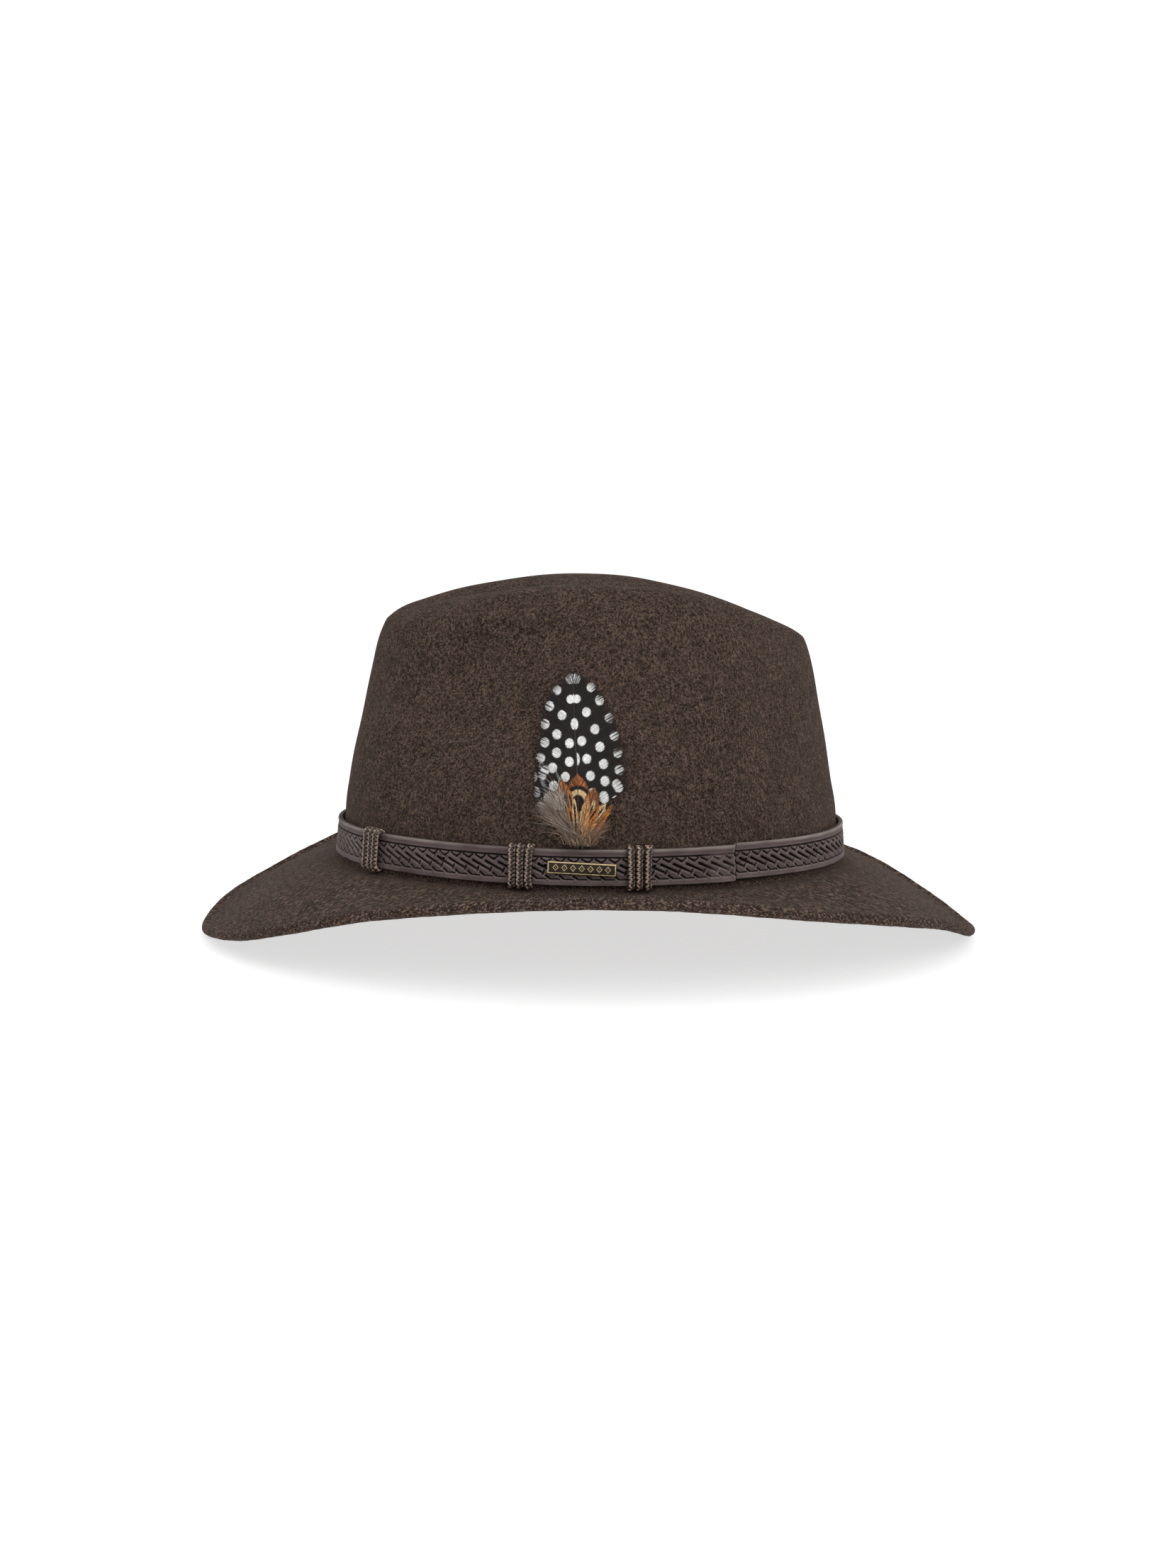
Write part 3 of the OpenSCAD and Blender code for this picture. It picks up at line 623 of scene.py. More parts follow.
def build_sweatband():
    n = 420
    t = np.arange(n) * 360 / n
    zo = np.array([0.4, 0.7, 1.6, 3, 5, 8, 11, 14, 17, 20, 23, 26, 29, 31.5, 33.2, 33.9])
    sec = [(sweat_d(z) - (0.15 if i in (0, 15) else 0), z) for i, z in enumerate(zo)]
    sec += [(sweat_d(z) - 1.0 + (0.2 if i in (0, 15) else 0) - (0.12 if 2.2 < z < 3.4 else 0), z) for i, z in list(enumerate(zo))[::-1]]
    prof = np.repeat(np.array(sec)[None], n, 0)
    # the leather eases slightly inward between its stitches and along its free top edge
    a = ramp(prof[..., 1], 22, 34)
    wav = 0.5 + 0.5 * smooth_noise(np.radians(t)[:, None] * 3.0, prof[..., 1] / 30, 3)
    prof[..., 0] -= a * 0.45 * np.clip(wav, 0, 1.4)
    prof[..., 1] += 0.25 * a * smooth_noise(np.radians(t)[:, None] * 5, prof[..., 1] * 0, 5)
    v = sweep(t, prof)
    m = v.shape[1]
    make("sweatband_leather", v.reshape(-1, 3), [quads(n, m, True, True, flip=False)], SWEAT_LEATHER, "hat", ("sweatband",), "sweat_leather",
         attrs={"wear_and_highlight": np.zeros(n * m), "groove_and_shadow": np.zeros(n * m)})
    # reed: a covered tube sewn along the lower edge
    n, m = 600, 10
    t = np.arange(n) * 360 / n
    a = np.arange(m) * 2 * np.pi / m
    r = 0.72 + 0.03 * np.sin(np.arange(n) * 2 * np.pi / 5)[:, None]
    prof = np.stack([SW_OUT - 0.5 + r * np.cos(a), -0.75 + r * np.sin(a) + 0 * t[:, None]], -1)
    v = sweep(t, prof)
    make("sweatband_reed_tape", v.reshape(-1, 3), [quads(n, m, True, True, flip=True)], REED, "hat", ("sweatband_reed",), "reed")
    # running stitches
    h = Heap()
    for t0 in range(3, 360, 6):
        s = np.linspace(-1.45, 1.45, 9)
        M = place(t0, SW_OUT - 1.0 - 0.54, 3.0)
        r0 = 68.0
        p = np.stack([0.24 * (s / 1.45) ** 2 + 0.12 - s * s / (2 * r0), s, 0.12 * np.sin(s + t0)], -1)
        v, f = tube(p, 0.24 * np.sqrt(np.clip(1.06 - (s / 1.45) ** 6, 0.05, 1)), (1, 0, 0), 7)
        h.add(xf(M, v), f)
    h.done("sweatband_stitch_row", THREAD, "hat", ("sweatband_stitches",), "thread")


def cloth_strip(path, up, width, thick, nseg, crosswise=9, curl=0.0, ribs=0):
    """A closed ribbon of cloth along a path, with a thickness and a slight crown."""
    path = np.asarray(path, float)
    s = np.linspace(0, 1, len(path))
    t, n, b = frames(path, False, np.broadcast_to(np.asarray(up, float), path.shape))
    w = np.interp(s, np.linspace(0, 1, len(width)), width)
    c = np.linspace(-1, 1, crosswise)
    rib = 0.03 * np.cos(np.arange(len(path)) * np.pi) if ribs else 0 * s
    top = path[:, None] + b[:, None] * (w[:, None] / 2 * c)[..., None] + n[:, None] * ((thick / 2 + rib)[:, None] * np.ones_like(c) + curl * (1 - c * c))[..., None]
    bot = path[:, None] + b[:, None] * (w[:, None] / 2 * c)[..., None] + n[:, None] * (-thick / 2 + curl * (1 - c * c) + 0 * s[:, None])[..., None]
    ring = np.concatenate([top, bot[:, ::-1]], 1)
    m = ring.shape[1]
    f = [quads(len(path), m, True, False)]
    k = crosswise
    cap = []
    for i in range(k - 1):
        cap.append([i, i + 1, m - 2 - i, m - 1 - i][::-1])
    cap = np.array(cap)
    f.append(cap[:, ::-1])
    f.append(cap + (len(path) - 1) * m)
    return ring.reshape(-1, 3), f


def build_bow_label():
    M = place(90, SW_OUT - 1.0 - 2.8, 13)
    h = Heap()
    for sgn in (-1, 1):
        # loop: out and back with a soft fold
        u = np.linspace(0, 1, 40)
        a = u * 2 * np.pi
        y = sgn * (0.8 + 9.2 * np.sin(a / 2) ** 1.0)
        x = 0.15 - 0.75 * np.sin(a) * (0.4 + 0.6 * np.sin(a / 2))
        z = 0.5 * np.sin(a / 2) * sgn + 0.15 * np.cos(a)
        w = 2.4 + 5.6 * np.sin(a / 2) ** 0.8
        v, f = cloth_strip(np.stack([x, y, z], -1), (1, 0, 0), w, 0.28, 40, 9, 0.12, 1)
        h.add(xf(M, v), f)
        u = np.linspace(0, 1, 22)
        y = sgn * (0.6 + 5.0 * u + 0.5 * np.sin(u * 5))
        z = -0.6 - 10.6 * u
        x = 0.1 - 0.35 * np.sin(u * 4.2)
        v, f = cloth_strip(np.stack([x, y, z], -1), (1, 0, 0), [1.8, 3.0, 3.8, 4.0], 0.26, 22, 7, 0.08, 1)
        h.add(xf(M, v), f)
    a = np.linspace(0, 2 * np.pi, 24)
    v, f = cloth_strip(np.stack([0.45 + 0.95 * np.cos(a), 0.3 * np.sin(2 * a) * 0, 1.75 * np.sin(a)], -1), np.stack([np.cos(a), 0 * a, np.sin(a)], -1), [4.0, 3.6, 4.0], 0.3, 24, 7, 0.1, 1)
    h.add(xf(M, v), f)
    h.done("sweatband_ribbon_bow", RIBBON, "hat", ("sweatband_bow",), "ribbon")

    M = place(62, SW_OUT - 1.0 - 3.2, 22, math.radians(9))
    ny, nz = 34, 42
    y, z = np.meshgrid(np.linspace(-8, 8, ny), np.linspace(-9, 11, nz))
    x = 0.12 - 0.18 * ramp(z, 2, 11) * np.sin(y / 3) - 0.5 * ramp(-z, -2, 9) * (y / 8) ** 2 * 0.6 + 0.02 * np.sin(z * 5.2) + 0.015 * np.sin(y * 6)
    x = np.where((z > 9.6), x - 0.05, x)
    a = np.stack([x, y, z], -1).reshape(-1, 3)
    b = a - [0.22, 0, 0]
    n = nz * ny
    top = quads(nz, ny, wrap_u=False)
    edge = np.concatenate([np.arange(ny), np.arange(1, nz) * ny + ny - 1, (nz - 1) * ny + np.arange(ny - 2, -1, -1), np.arange(nz - 2, 0, -1) * ny])
    e2 = np.roll(edge, -1)
    rim = np.stack([edge, edge + n, e2 + n, e2], -1)
    make("care_label_tape", xf(M, np.concatenate([a, b])), [top, top[:, ::-1] + n, rim[:, ::-1]], LABEL, "hat", ("care_label",), "label")


# ------------------------------------------------------------------ pressed strap
PITCH = 5.3


def seg_dist(px, py, ax, ay, bx, by):
    dx, dy = bx - ax, by - ay
    h = np.clip(((px - ax) * dx + (py - ay) * dy) / (dx * dx + dy * dy), 0, 1)
    return np.hypot(px - ax - h * dx, py - ay - h * dy), h


def sst(x, a, b):
    return ramp(x, a, b)


def emboss(s, v):
    """Relief of the strap face in mm below its borders; s along the strap, v up from its lower edge."""
    k = np.floor(s / PITCH)
    x = s - k * PITCH
    inner = sst(v, 2.5, 2.9) * (1 - sst(v, 10.6, 11.0))
    H = -0.10 * inner

    def cut(d, half, depth, soft=0.16):
        return -depth * (1 - sst(d, half - soft, half + soft))

    G = np.zeros(s.shape)
    for j in (-2, -1, 0, 1):
        kk = k + j
        ros = (kk % 8 == 3)
        a, b = x - (j + 0.12) * PITCH, v - 8.0
        # long slot, rounded and deepest at its upper end, running out to a fine point
        d, h = seg_dist(a, b, 0, 0, 6.5, -2.95)
        G = np.minimum(G, cut(d, 0.50 - 0.16 * h, 0.95 - 0.25 * h))
        # short return at the squared foot of the tongue
        d, h = seg_dist(a, b, 7.70, -2.2, 7.0, -3.75)
        G = np.minimum(G, cut(d, 0.31, 0.70))
        # check mark that leaves a small raised triangle under the top line
        d, h = seg_dist(a, b, 0.9, 2.25, 3.15, 0.98)
        G = np.minimum(G, cut(d, 0.31, 0.80))
        d, h = seg_dist(a, b, 3.15, 0.98, 4.75, 2.2)
        G = np.minimum(G, cut(d, 0.34, 0.62 - 0.12 * h))
        # notch in the lower row, joined to the next by a pressed line
        d, h = seg_dist(a, b, 3.05, -4.35, 4.6, -5.4)
        G = np.minimum(G, cut(d, 0.40 - 0.06 * h, 0.95))
        d, h = seg_dist(a, b, 4.8, -5.50, 8.25, -5.50)
        G = np.minimum(G, cut(d, 0.22, 0.66))
        # rosette: two punched eyes, each with a raised loop round it
        r1, r2 = np.hypot(a - 0.1, b - 0.05), np.hypot(a - 2.7, b + 0.45)
        eye = np.minimum(cut(r1, 0.66, 1.05), cut(r2, 0.62, 1.05))
        ring = np.minimum(cut(np.abs(r1 - 1.55), 0.18, 0.35), cut(np.abs(r2 - 1.5), 0.18, 0.35))
        G = np.where(ros, np.minimum(G, np.minimum(eye, ring)), G)
    H = H + G * sst(v, 2.0, 2.3) * (1 - sst(v, 10.6, 10.9))
    # the tongues are slightly pillowed
    H = H + 0.10 * inner * np.cos((x - 0.12 * PITCH + (v - 8.0) / 0.454) / PITCH * 2 * np.pi - np.pi)
    # pressed line inside the upper border
    H = H + cut(np.abs(v - 10.95), 0.30, 0.80)
    # raised outer rims and gently crowned borders
    H = H - 0.20 * sst(v, 11.1, 11.4) * (1 - sst(v, 12.9, 13.2)) + 0.06 * np.sin(np.pi * np.clip(v / 2.3, 0, 1))
    return H


def arc_len():
    """Strap length against angle, at the middle of its face."""
    t = np.linspace(-180, 180, 14401)
    x, y = oval(t, 2.3)
    s = np.concatenate([[0], np.cumsum(np.hypot(np.diff(x), np.diff(y)))])
    return t, s - np.interp(0.0, t, s)


ARC_T, ARC_S = arc_len()


def t_at(s):
    return np.interp(s, ARC_S, ARC_T)


def s_at(t):
    return np.interp(t, ARC_T, ARC_S)


CORDS = (-51.3, -16.7, 5.8)


def step_a(t, pitch=3.3):
    r = SIDE_R if fold(np.array(t)) < JOIN_A else END_R
    return pitch / (r + STRAP_OUT + 1) * 57.2958


def build_strap():
    s0, s1 = ARC_S[0], ARC_S[-1]
    sa, sb, lap = float(s_at(-92)), float(s_at(92)), float(s_at(LAP_A))
    left = np.arange(s0 + 0.01, sa, 0.62)
    mid1 = np.arange(sa, lap - 0.5, 0.30)
    step = lap + np.array([-0.45, -0.28, -0.14, -0.04, 0.04, 0.16, 0.32])
    mid2 = np.arange(lap + 0.6, sb, 0.30)
    right = np.arange(sb, s1 - 0.2, 0.62)
    s = np.concatenate([left, mid1, step, mid2, right])
    n = len(s)
    t = t_at(s)
    v = np.concatenate([[0.0, 0.08, 0.22, 0.45, 0.9, 1.4, 1.9, 2.2], np.arange(2.4, 11.35, 0.235), [11.6, 12.1, 12.7, 13.2, 13.6, 13.85, 14.02, 14.14, 14.2]])
    S, V = np.meshgrid(s, v, indexing="ij")
    H = emboss(S + 1.1 + 2.9 * (S > lap), V)
    # rounded outer edges
    e = np.minimum(V, STRAP_H - V)
    H = H - 0.55 * (1 - np.clip(e / 0.5, 0, 1)) ** 2.2
    # slight hand-made unevenness, and the upper layer of the lap
    T = t[:, None]
    lapz = ramp(T, 17.5, 21.5) * (T < LAP_A + 0.001)
    rag = 0.25 * smooth_noise(V * 1.7, V * 0 + 3, 9)
    edge = (S + rag < lap)
    H = H + 0.5 * ramp(T, 17.5, 21.5) * edge
    H = H + 0.035 * smooth_noise(S / 9, V / 5, 6)
    d = STRAP_OUT + H - STRAP_IN / STRAP_H * V
    # the layer behind the lap sits a touch higher on the crown
    lift = 0.35 * (1 - ramp(S, lap, lap + 60)) * (S > lap)
    Z = STRAP_Z + V + 0.75 * (1 - ramp(S, lap, lap + 55)) * (S > lap)
    vb = np.array([14.2, 14.0, 10, 5, 0.2, 0.0])
    back = STRAP_OUT - STRAP_T - STRAP_IN / STRAP_H * vb
    back[0] += 0.35
    back[-1] += 0.35
    D = np.concatenate([d, np.broadcast_to(back, (n, len(vb)))], 1)
    ZZ = np.concatenate([Z, np.broadcast_to(STRAP_Z + vb, (n, len(vb)))], 1)
    g = sweep(t, np.stack([D, ZZ], -1))
    m = g.shape[1]
    lapH = np.gradient(np.gradient(H, axis=1), axis=1) / 0.055 + np.gradient(np.gradient(H, axis=0), axis=0) / 0.09
    # lighter on convex ridges and along the top and bottom rims: part rubbed wear, part painted highlight
    wear_and_highlight = np.clip(-lapH * 0.20, 0, 1) * 0.62
    wear_and_highlight = np.maximum(wear_and_highlight, 0.85 * (1 - sst(np.abs(STRAP_H - V - 0.5), 0.45, 0.75)))
    wear_and_highlight = np.maximum(wear_and_highlight, 0.6 * (1 - sst(V, 0.6, 1.1)))
    wear_and_highlight = wear_and_highlight * (0.65 + 0.35 * smooth_noise(S / 4, V / 3, 13))
    # darker in the pressed recesses, the deeper the darker
    groove_and_shadow = np.clip((-H - 0.24) / 0.34, 0, 1)
    # cut end of the lap: pale edge on the upper layer, and a painted shadow line where it meets the lower one
    wear_and_highlight = np.maximum(wear_and_highlight, 0.45 * ((S + rag) > lap - 0.62) * ((S + rag) < lap + 0.01))
    groove_and_shadow = np.maximum(groove_and_shadow, (S + rag > lap) * (1 - ramp(S + rag, lap + 0.25, lap + 1.1)) * 0.95)
    # painted shadow: the leather is darkened where the cords cover it, standing in for the shade under and between the
    # turns
    for t0 in CORDS:
        a = step_a(t0) * 1.5 + 0.3
        groove_and_shadow = np.maximum(groove_and_shadow, (1 - ramp(np.abs(T - t0), a - 0.6, a + 0.3)) * 0.32)
    pad = np.zeros((n, len(vb)))
    make("hatband_strap_leather", g.reshape(-1, 3), [quads(n, m, True, True, flip=False)], STRAP_LEATHER, "hat", ("hatband_strap",), "strap_leather",
         attrs={"wear_and_highlight": np.concatenate([np.clip(wear_and_highlight, 0, 1), pad], 1).ravel(), "groove_and_shadow": np.concatenate([groove_and_shadow, pad], 1).ravel()})


# ------------------------------------------------------------------ braided cord keepers
CORD_R = 1.43


def braid(h, path, up, rad, flat, strands=6, lead=4.8, r=0.36, per=0.42, sides=5, shade=None):
    """Round braid: half the strands turn each way and weave over and under."""
    path = np.asarray(path, float)
    seg = np.linalg.norm(np.diff(path, axis=0), axis=1)
    s = np.concatenate([[0], np.cumsum(seg)])
    m = max(8, int(s[-1] / per))
    q = np.linspace(0, s[-1], m)
    P = np.stack([np.interp(q, s, path[:, i]) for i in range(3)], -1)
    U = np.stack([np.interp(q, s, np.broadcast_to(up, path.shape)[:, i]) for i in range(3)], -1)
    R = np.interp(q, s, np.broadcast_to(rad, (len(path),)))
    F = np.interp(q, s, np.broadcast_to(flat, (len(path),)))
    t, n, b = frames(P, False, U)
    half = strands // 2
    for k in range(strands):
        sgn = 1 if k < half else -1
        a = sgn * (q / lead * 2 * np.pi) + (k % half) * 2 * np.pi / half + (0.4 if sgn < 0 else 0)
        wv = 0.14 * sgn * np.cos(a * half + 1.57 * sgn)
        rr = (R - r * 0.75) * (1 + wv)
        p = P + n * (rr * np.cos(a) * F)[:, None] + b * (rr * np.sin(a))[:, None]
        rad_dir = n * np.cos(a)[:, None] + b * np.sin(a)[:, None]
        v, f = tube(p, r, rad_dir, sides, flat=0.62 * np.clip(F + 0.2, 0.4, 1))
        # tone is painted light: strands lifted in the weave and each strand's outward side are painted lighter,
        # crossings that dip under and inner sides painted shade, times a random tone per strand
        lift = np.repeat(np.clip(0.52 + 3.9 * wv, 0, 1), sides)
        face = np.tile(ramp(np.cos(np.arange(sides) * 2 * np.pi / sides), -0.2, 0.9), len(p))
        tone = (0.52 + 0.48 * ((k * 37) % 11) / 11) * lift ** 2.4 * (0.05 + 0.95 * face)
        h.add(v, f, tone=tone)
    # a dark core tube with tone 0, painted near black to stand for the shade in the gaps between the strands
    v, f = tube(P, R - r * 0.9, U, 10, flat=F)
    h.add(v, f, tone=np.zeros(len(v)))


def cord_loop(lift=0.0):
    """Closed run round the strap in its own frame: +X out, +Z up the strap."""
    hh = STRAP_H / 2 / math.cos(LEAN)
    zf, xf_, xb = hh - 1.0, 0.18 + CORD_R, -STRAP_T - 0.49
    xc, rc = (xf_ + xb) / 2, (xf_ - xb) / 2
    pts, flat = [], []
    for z in np.linspace(-zf, zf, 26):
        pts.append((xf_ + 0.05 * math.sin(z * 1.1), 0, z))
        flat.append(1.0)
    for a in np.linspace(0, 180, 18)[1:-1]:
        pts.append((xc + rc * math.cos(math.radians(a)), 0, zf + 1.85 * math.sin(math.radians(a))))
        flat.append(1.0 - 0.42 * ramp(np.array(a), 30, 90) - 0.30 * ramp(np.array(a), 90, 160))
    for z in np.linspace(zf, -zf, 12):
        pts.append((xb, 0, z))
        flat.append(0.27)
    for a in np.linspace(180, 360, 18)[1:-1]:
        pts.append((xc + rc * math.cos(math.radians(a)), 0, -zf + 1.85 * math.sin(math.radians(a))))
        flat.append(0.28 + 0.30 * ramp(np.array(a), 200, 270) + 0.42 * ramp(np.array(a), 270, 330))
    pts.append(pts[0])
    flat.append(1.0)
    return np.array(pts), np.array(flat)


def build_cords(name, t0, node, body, seed):
    h = Heap()
    r = np.random.default_rng(seed)
    P, F = cord_loop()
    for i, t in enumerate((t0 - step_a(t0 - 2.2), t0, t0 + step_a(t0 + 1.4))):
        M = place(t, STRAP_OUT - STRAP_IN / 2, STRAP_Z + STRAP_H / 2, LEAN)
        p = P.copy()
        z = p[:, 2]
        front = p[:, 0] > -0.5
        # each turn leans a little and bows differently
        p[:, 1] += np.where(front, 0.10 * np.sin(z / 7 * 1.5 + i * 2.1 + seed) + (0.05 * (i - 1)) * z / 7, 0)
        if i == 2:
            p[:, 1] += np.where(front, 0.55 * ramp(np.abs(z), 5.2, 8.6), 0)
        braid(h, xf(M, p), cord_up(M, p), CORD_R, F, r=0.48)
        if i == 2:
            # the cut tail, tucked over the top edge
            u = np.linspace(0, 1, 14)
            tail = np.stack([0.4 + 1.3 * np.cos(u * 2.2), 0.8 + 1.1 * u, 6.4 + 1.7 * np.sin(u * 1.9)], -1)
            tail[:, 0] = np.maximum(tail[:, 0], -0.9)
            braid(h, xf(M, tail), rot(M, np.tile([1.0, 0, 0], (14, 1))), np.linspace(0.95, 0.7, 14), 0.85, r=0.33)
    h.done(name, CORD, body, (node,), "cord")


def cord_up(M, p):
    """Direction away from the strap all the way round one loop."""
    hh = STRAP_H / 2 / math.cos(LEAN) - 1.0
    c = np.stack([np.full(len(p), -STRAP_T / 2), 0 * p[:, 0], np.clip(p[:, 2], -hh, hh)], -1)
    d = p - c
    d[:, 1] = 0
    d /= np.linalg.norm(d, axis=1)[:, None] + 1e-9
    return rot(M, d)


# ------------------------------------------------------------------ badge
def build_badge():
    fr = place(-5.0, STRAP_OUT - STRAP_IN / STRAP_H * (9.4 - STRAP_Z), 9.4, LEAN) @ Matrix.Rotation(math.radians(-2.2), 4, "X") @ Matrix.Rotation(math.radians(90), 4, "Y")
    L, W, T, st = 26.4, 4.7, 1.0, 0.12
    # face grid: X across the strap, Y along it
    y = np.linspace(-L / 2, L / 2, 300)
    x = np.linspace(-W / 2, W / 2, 58)
    X, Y = np.meshgrid(x, y)
    ed = np.minimum(W / 2 - np.abs(X), L / 2 - np.abs(Y))
    z = T - 0.16 * (1 - np.clip(ed / 0.18, 0, 1)) ** 2
    rec = ramp(ed, 0.50, 0.66)
    z = z - 0.40 * rec
    # raised diamonds and beads, a plain decorative frieze
    k = np.round(Y / 3.35)
    yy = Y - k * 3.35
    ok = np.abs(k) < 4
    dia = np.abs(yy) / 1.45 + np.abs(X) / 1.62
    relief = np.where(ok, 0.34 * (1 - ramp(dia, 0.86, 1.0)) * ramp(dia, 0.40, 0.54) + 0.30 * (1 - ramp(dia, 0.16, 0.26)), 0)
    z = z + relief * rec
    bow = -Y * Y / (2 * 130.0)
    a = np.stack([X, Y, st + z + bow * 0.0], -1).reshape(-1, 3)
    b = np.stack([X, Y, st + 0 * z], -1).reshape(-1, 3)
    ny, nx = X.shape
    n = nx * ny
    top = quads(ny, nx, wrap_u=False)
    edge = np.concatenate([np.arange(nx), np.arange(1, ny) * nx + nx - 1, (ny - 1) * nx + np.arange(nx - 2, -1, -1), np.arange(ny - 2, 0, -1) * nx])
    e2 = np.roll(edge, -1)
    rim = np.stack([edge, edge + n, e2 + n, e2], -1)
    recess = np.clip(rec * (1 - 0.72 * np.clip(relief / 0.14, 0, 1)), 0, 1).ravel()
    h = Heap()
    h.add(xf(fr, np.concatenate([a, b])), [top, top[:, ::-1] + n, rim[:, ::-1]], recess=np.concatenate([recess, 0 * recess]))
    for s in (-1, 1):
        p = np.array([[0, s * 9.2, -2.3], [0, s * 9.2, -1], [0, s * 9.2, 0.3]])
        v, f = tube(p, 0.6, (1, 0, 0), 16)
        h.add(xf(fr, v), f, recess=np.zeros(len(v)))
    h.done("badge_relief_plate", BRASS, "hat", ("badge_plate",), "badge", angle=35)


# ------------------------------------------------------------------ feathers
WALL = place(-5.0, float(strap_line(STRAP_Z + STRAP_H)), STRAP_Z + STRAP_H, math.radians(11.2))
TUCK = place(-5.0, float(strap_line(STRAP_Z)), STRAP_Z, LEAN)


def hug(x0, gap, z0, z1):
    """Distance out from the strap's plane: x0 at the root, closing to a small gap from the crown wall higher up."""
    zs, xs = [-20, 2, 10, 20, 30, 40, 50, 60, 68, 90], [0.4, 0.4, 0.7, 0.5, 0.05, -0.75, -1.75, -2.9, -3.6, -4.2]
    return lambda Z: lerp(x0 + 0 * Z, np.interp(Z, zs, xs) + gap, ramp(Z, z0, z1))


def vane(h, n, base, tip, X, hwl, hwr, th, col, steps=40, width=0.42, thick=0.05, ang=(84, 45, 16), kappa=0.95, skip=1.0, seed=0, clump=5.0, bend=0.0, cup=0.0, wander=0.0):
    """A feather vane of separate barbs. base and tip are (Y, Z) on the crown; hwl/hwr give the half widths
    against the distance from the tip; col(C, A, f, side, rnd) gives each barb point its colour."""
    r = np.random.default_rng(seed)
    base, tip = np.array(base, float), np.array(tip, float)
    ln = np.linalg.norm(tip - base)
    dz = (tip - base) / ln
    dy = np.array([dz[1], -dz[0]])
    for side, hw in ((-1, hwl), (1, hwr)):
        A0 = skip + (ln - skip - 0.5) * (np.arange(n) + 0.5) / n
        A0 = A0 + r.normal(0, 0.03, n)
        big, ds = 170, 0.2
        s = np.arange(big) * ds
        th0 = np.radians(ang[1] + (ang[0] - ang[1]) * (1 - ramp(A0, 0, ang[2])))[:, None]
        grp = np.cumsum(r.random(n) < 0.16)
        dev = r.normal(0, 1, grp.max() + 2)[grp] * clump
        th_s = th0 - np.radians(kappa) * s[None]
        C = np.cumsum(np.cos(th_s) * ds, 1)
        A = A0[:, None] - np.cumsum(np.sin(th_s) * ds, 1)
        lim = hw(A) * (1 + 0.025 * r.normal(0, 1, (n, 1)) + 0.02 * (dev[:, None] / max(clump, 1e-6)))
        out = (C > lim) | (A < -0.6)
        end = np.where(out.any(1), out.argmax(1), big - 1).clip(3)
        L = end * ds
        u = np.linspace(0, 1, steps)
        idx = u[None] * end[:, None]
        i0 = np.floor(idx).astype(int).clip(0, big - 2)
        fr = idx - i0
        take = lambda g: np.take_along_axis(g, i0, 1) * (1 - fr) + np.take_along_axis(g, i0 + 1, 1) * fr
        Cs, As, Ts = take(C), take(A), take(th_s)
        sep = ramp(u, 0.55, 1.0)[None] * np.radians(dev)[:, None] * L[:, None] * 0.16
        Cs, As = Cs + sep * np.sin(Ts), As + sep * np.cos(Ts)
        if wander:
            ph = r.uniform(0, 6.28, (n, 1))
            Cs = Cs + wander * u[None] ** 2 * np.sin(u[None] * 7 + ph)
            As = As + wander * u[None] ** 2 * np.cos(u[None] * 6 + ph)
        q = As / ln
        Y = tip[0] - dz[0] * As + side * Cs * dy[0] + bend * q * (1 - q) * 4 * dy[0]
        Z = tip[1] - dz[1] * As + side * Cs * dy[1] + bend * q * (1 - q) * 4 * dy[1]
        over = r.normal(0, 0.05, (n, 1)) + 0.10 * ((np.arange(n) % 2)[:, None])
        x = (X(Z) if callable(X) else X) + over * ramp(u, 0.1, 0.5)[None] - Y * Y / 245.0 + cup * (Cs / 10) ** 2 + 0.25 * ramp(u, 0.6, 1)[None] * (dev[:, None] / max(clump, 1e-6)) * 0.5
        p = np.stack([x, Y, Z], -1)
        w = width * (1 - 0.72 * ramp(u, 0.72, 1.0))[None] * np.ones((n, 1))
        nn = np.broadcast_to([1.0, 0, 0], p.shape)
        v, f = ribbons(p, nn, w, thick)
        tint = np.broadcast_to(col(Cs, As, np.broadcast_to(u, Cs.shape), side, r.random((n, 1))), Cs.shape + (3,))
        tint = np.repeat(tint[:, :, None, :], 3, 2).reshape(-1, 3)
        h.add(xf(WALL, v), f, tint=tint)
    # shaft
    q = np.linspace(0, 1, 30)
    A = q * ln
    Y = tip[0] - dz[0] * A + bend * q * (1 - q) * 4 * dy[0]
    Z = tip[1] - dz[1] * A + bend * q * (1 - q) * 4 * dy[1]
    p = np.stack([(X(Z) if callable(X) else X) + 0.16 - Y * Y / 245.0, Y, Z], -1)
    return p


def shaft(h, p, r0, r1, tint, pale=()):
    """pale: (from, to) spans, measured from the tip, where a dot crosses the shaft."""
    q = np.linspace(0, 1, 90)
    k = np.linspace(0, 1, len(p))
    p = np.stack([np.interp(q, k, p[:, i]) for i in range(3)], -1)
    v, f = tube(p, np.linspace(r0, r1, len(p)), (1, 0, 0), 7)
    A = np.concatenate([[0], np.cumsum(np.linalg.norm(np.diff(p, axis=0), axis=1))])
    on = np.zeros(len(p))
    for a, b in pale:
        on = np.maximum(on, (A > a) * (A < b))
    col = lerp(np.tile(np.array(tint, float), (len(p), 1)), np.tile(WHITE * 0.85, (len(p), 1)), on[:, None])
    n = len(v) - 7 * len(p)
    h.add(xf(WALL, v), f, tint=np.concatenate([np.repeat(col, 7, 0), np.tile(np.array(tint, float), (n, 1))]))


def widths(*pts):
    a = np.array(pts, float)
    return lambda A: np.interp(A, a[:, 0], a[:, 1])


WHITE = np.array(lin(250, 250, 248))
NIGHT = np.array(lin(30, 25, 23))


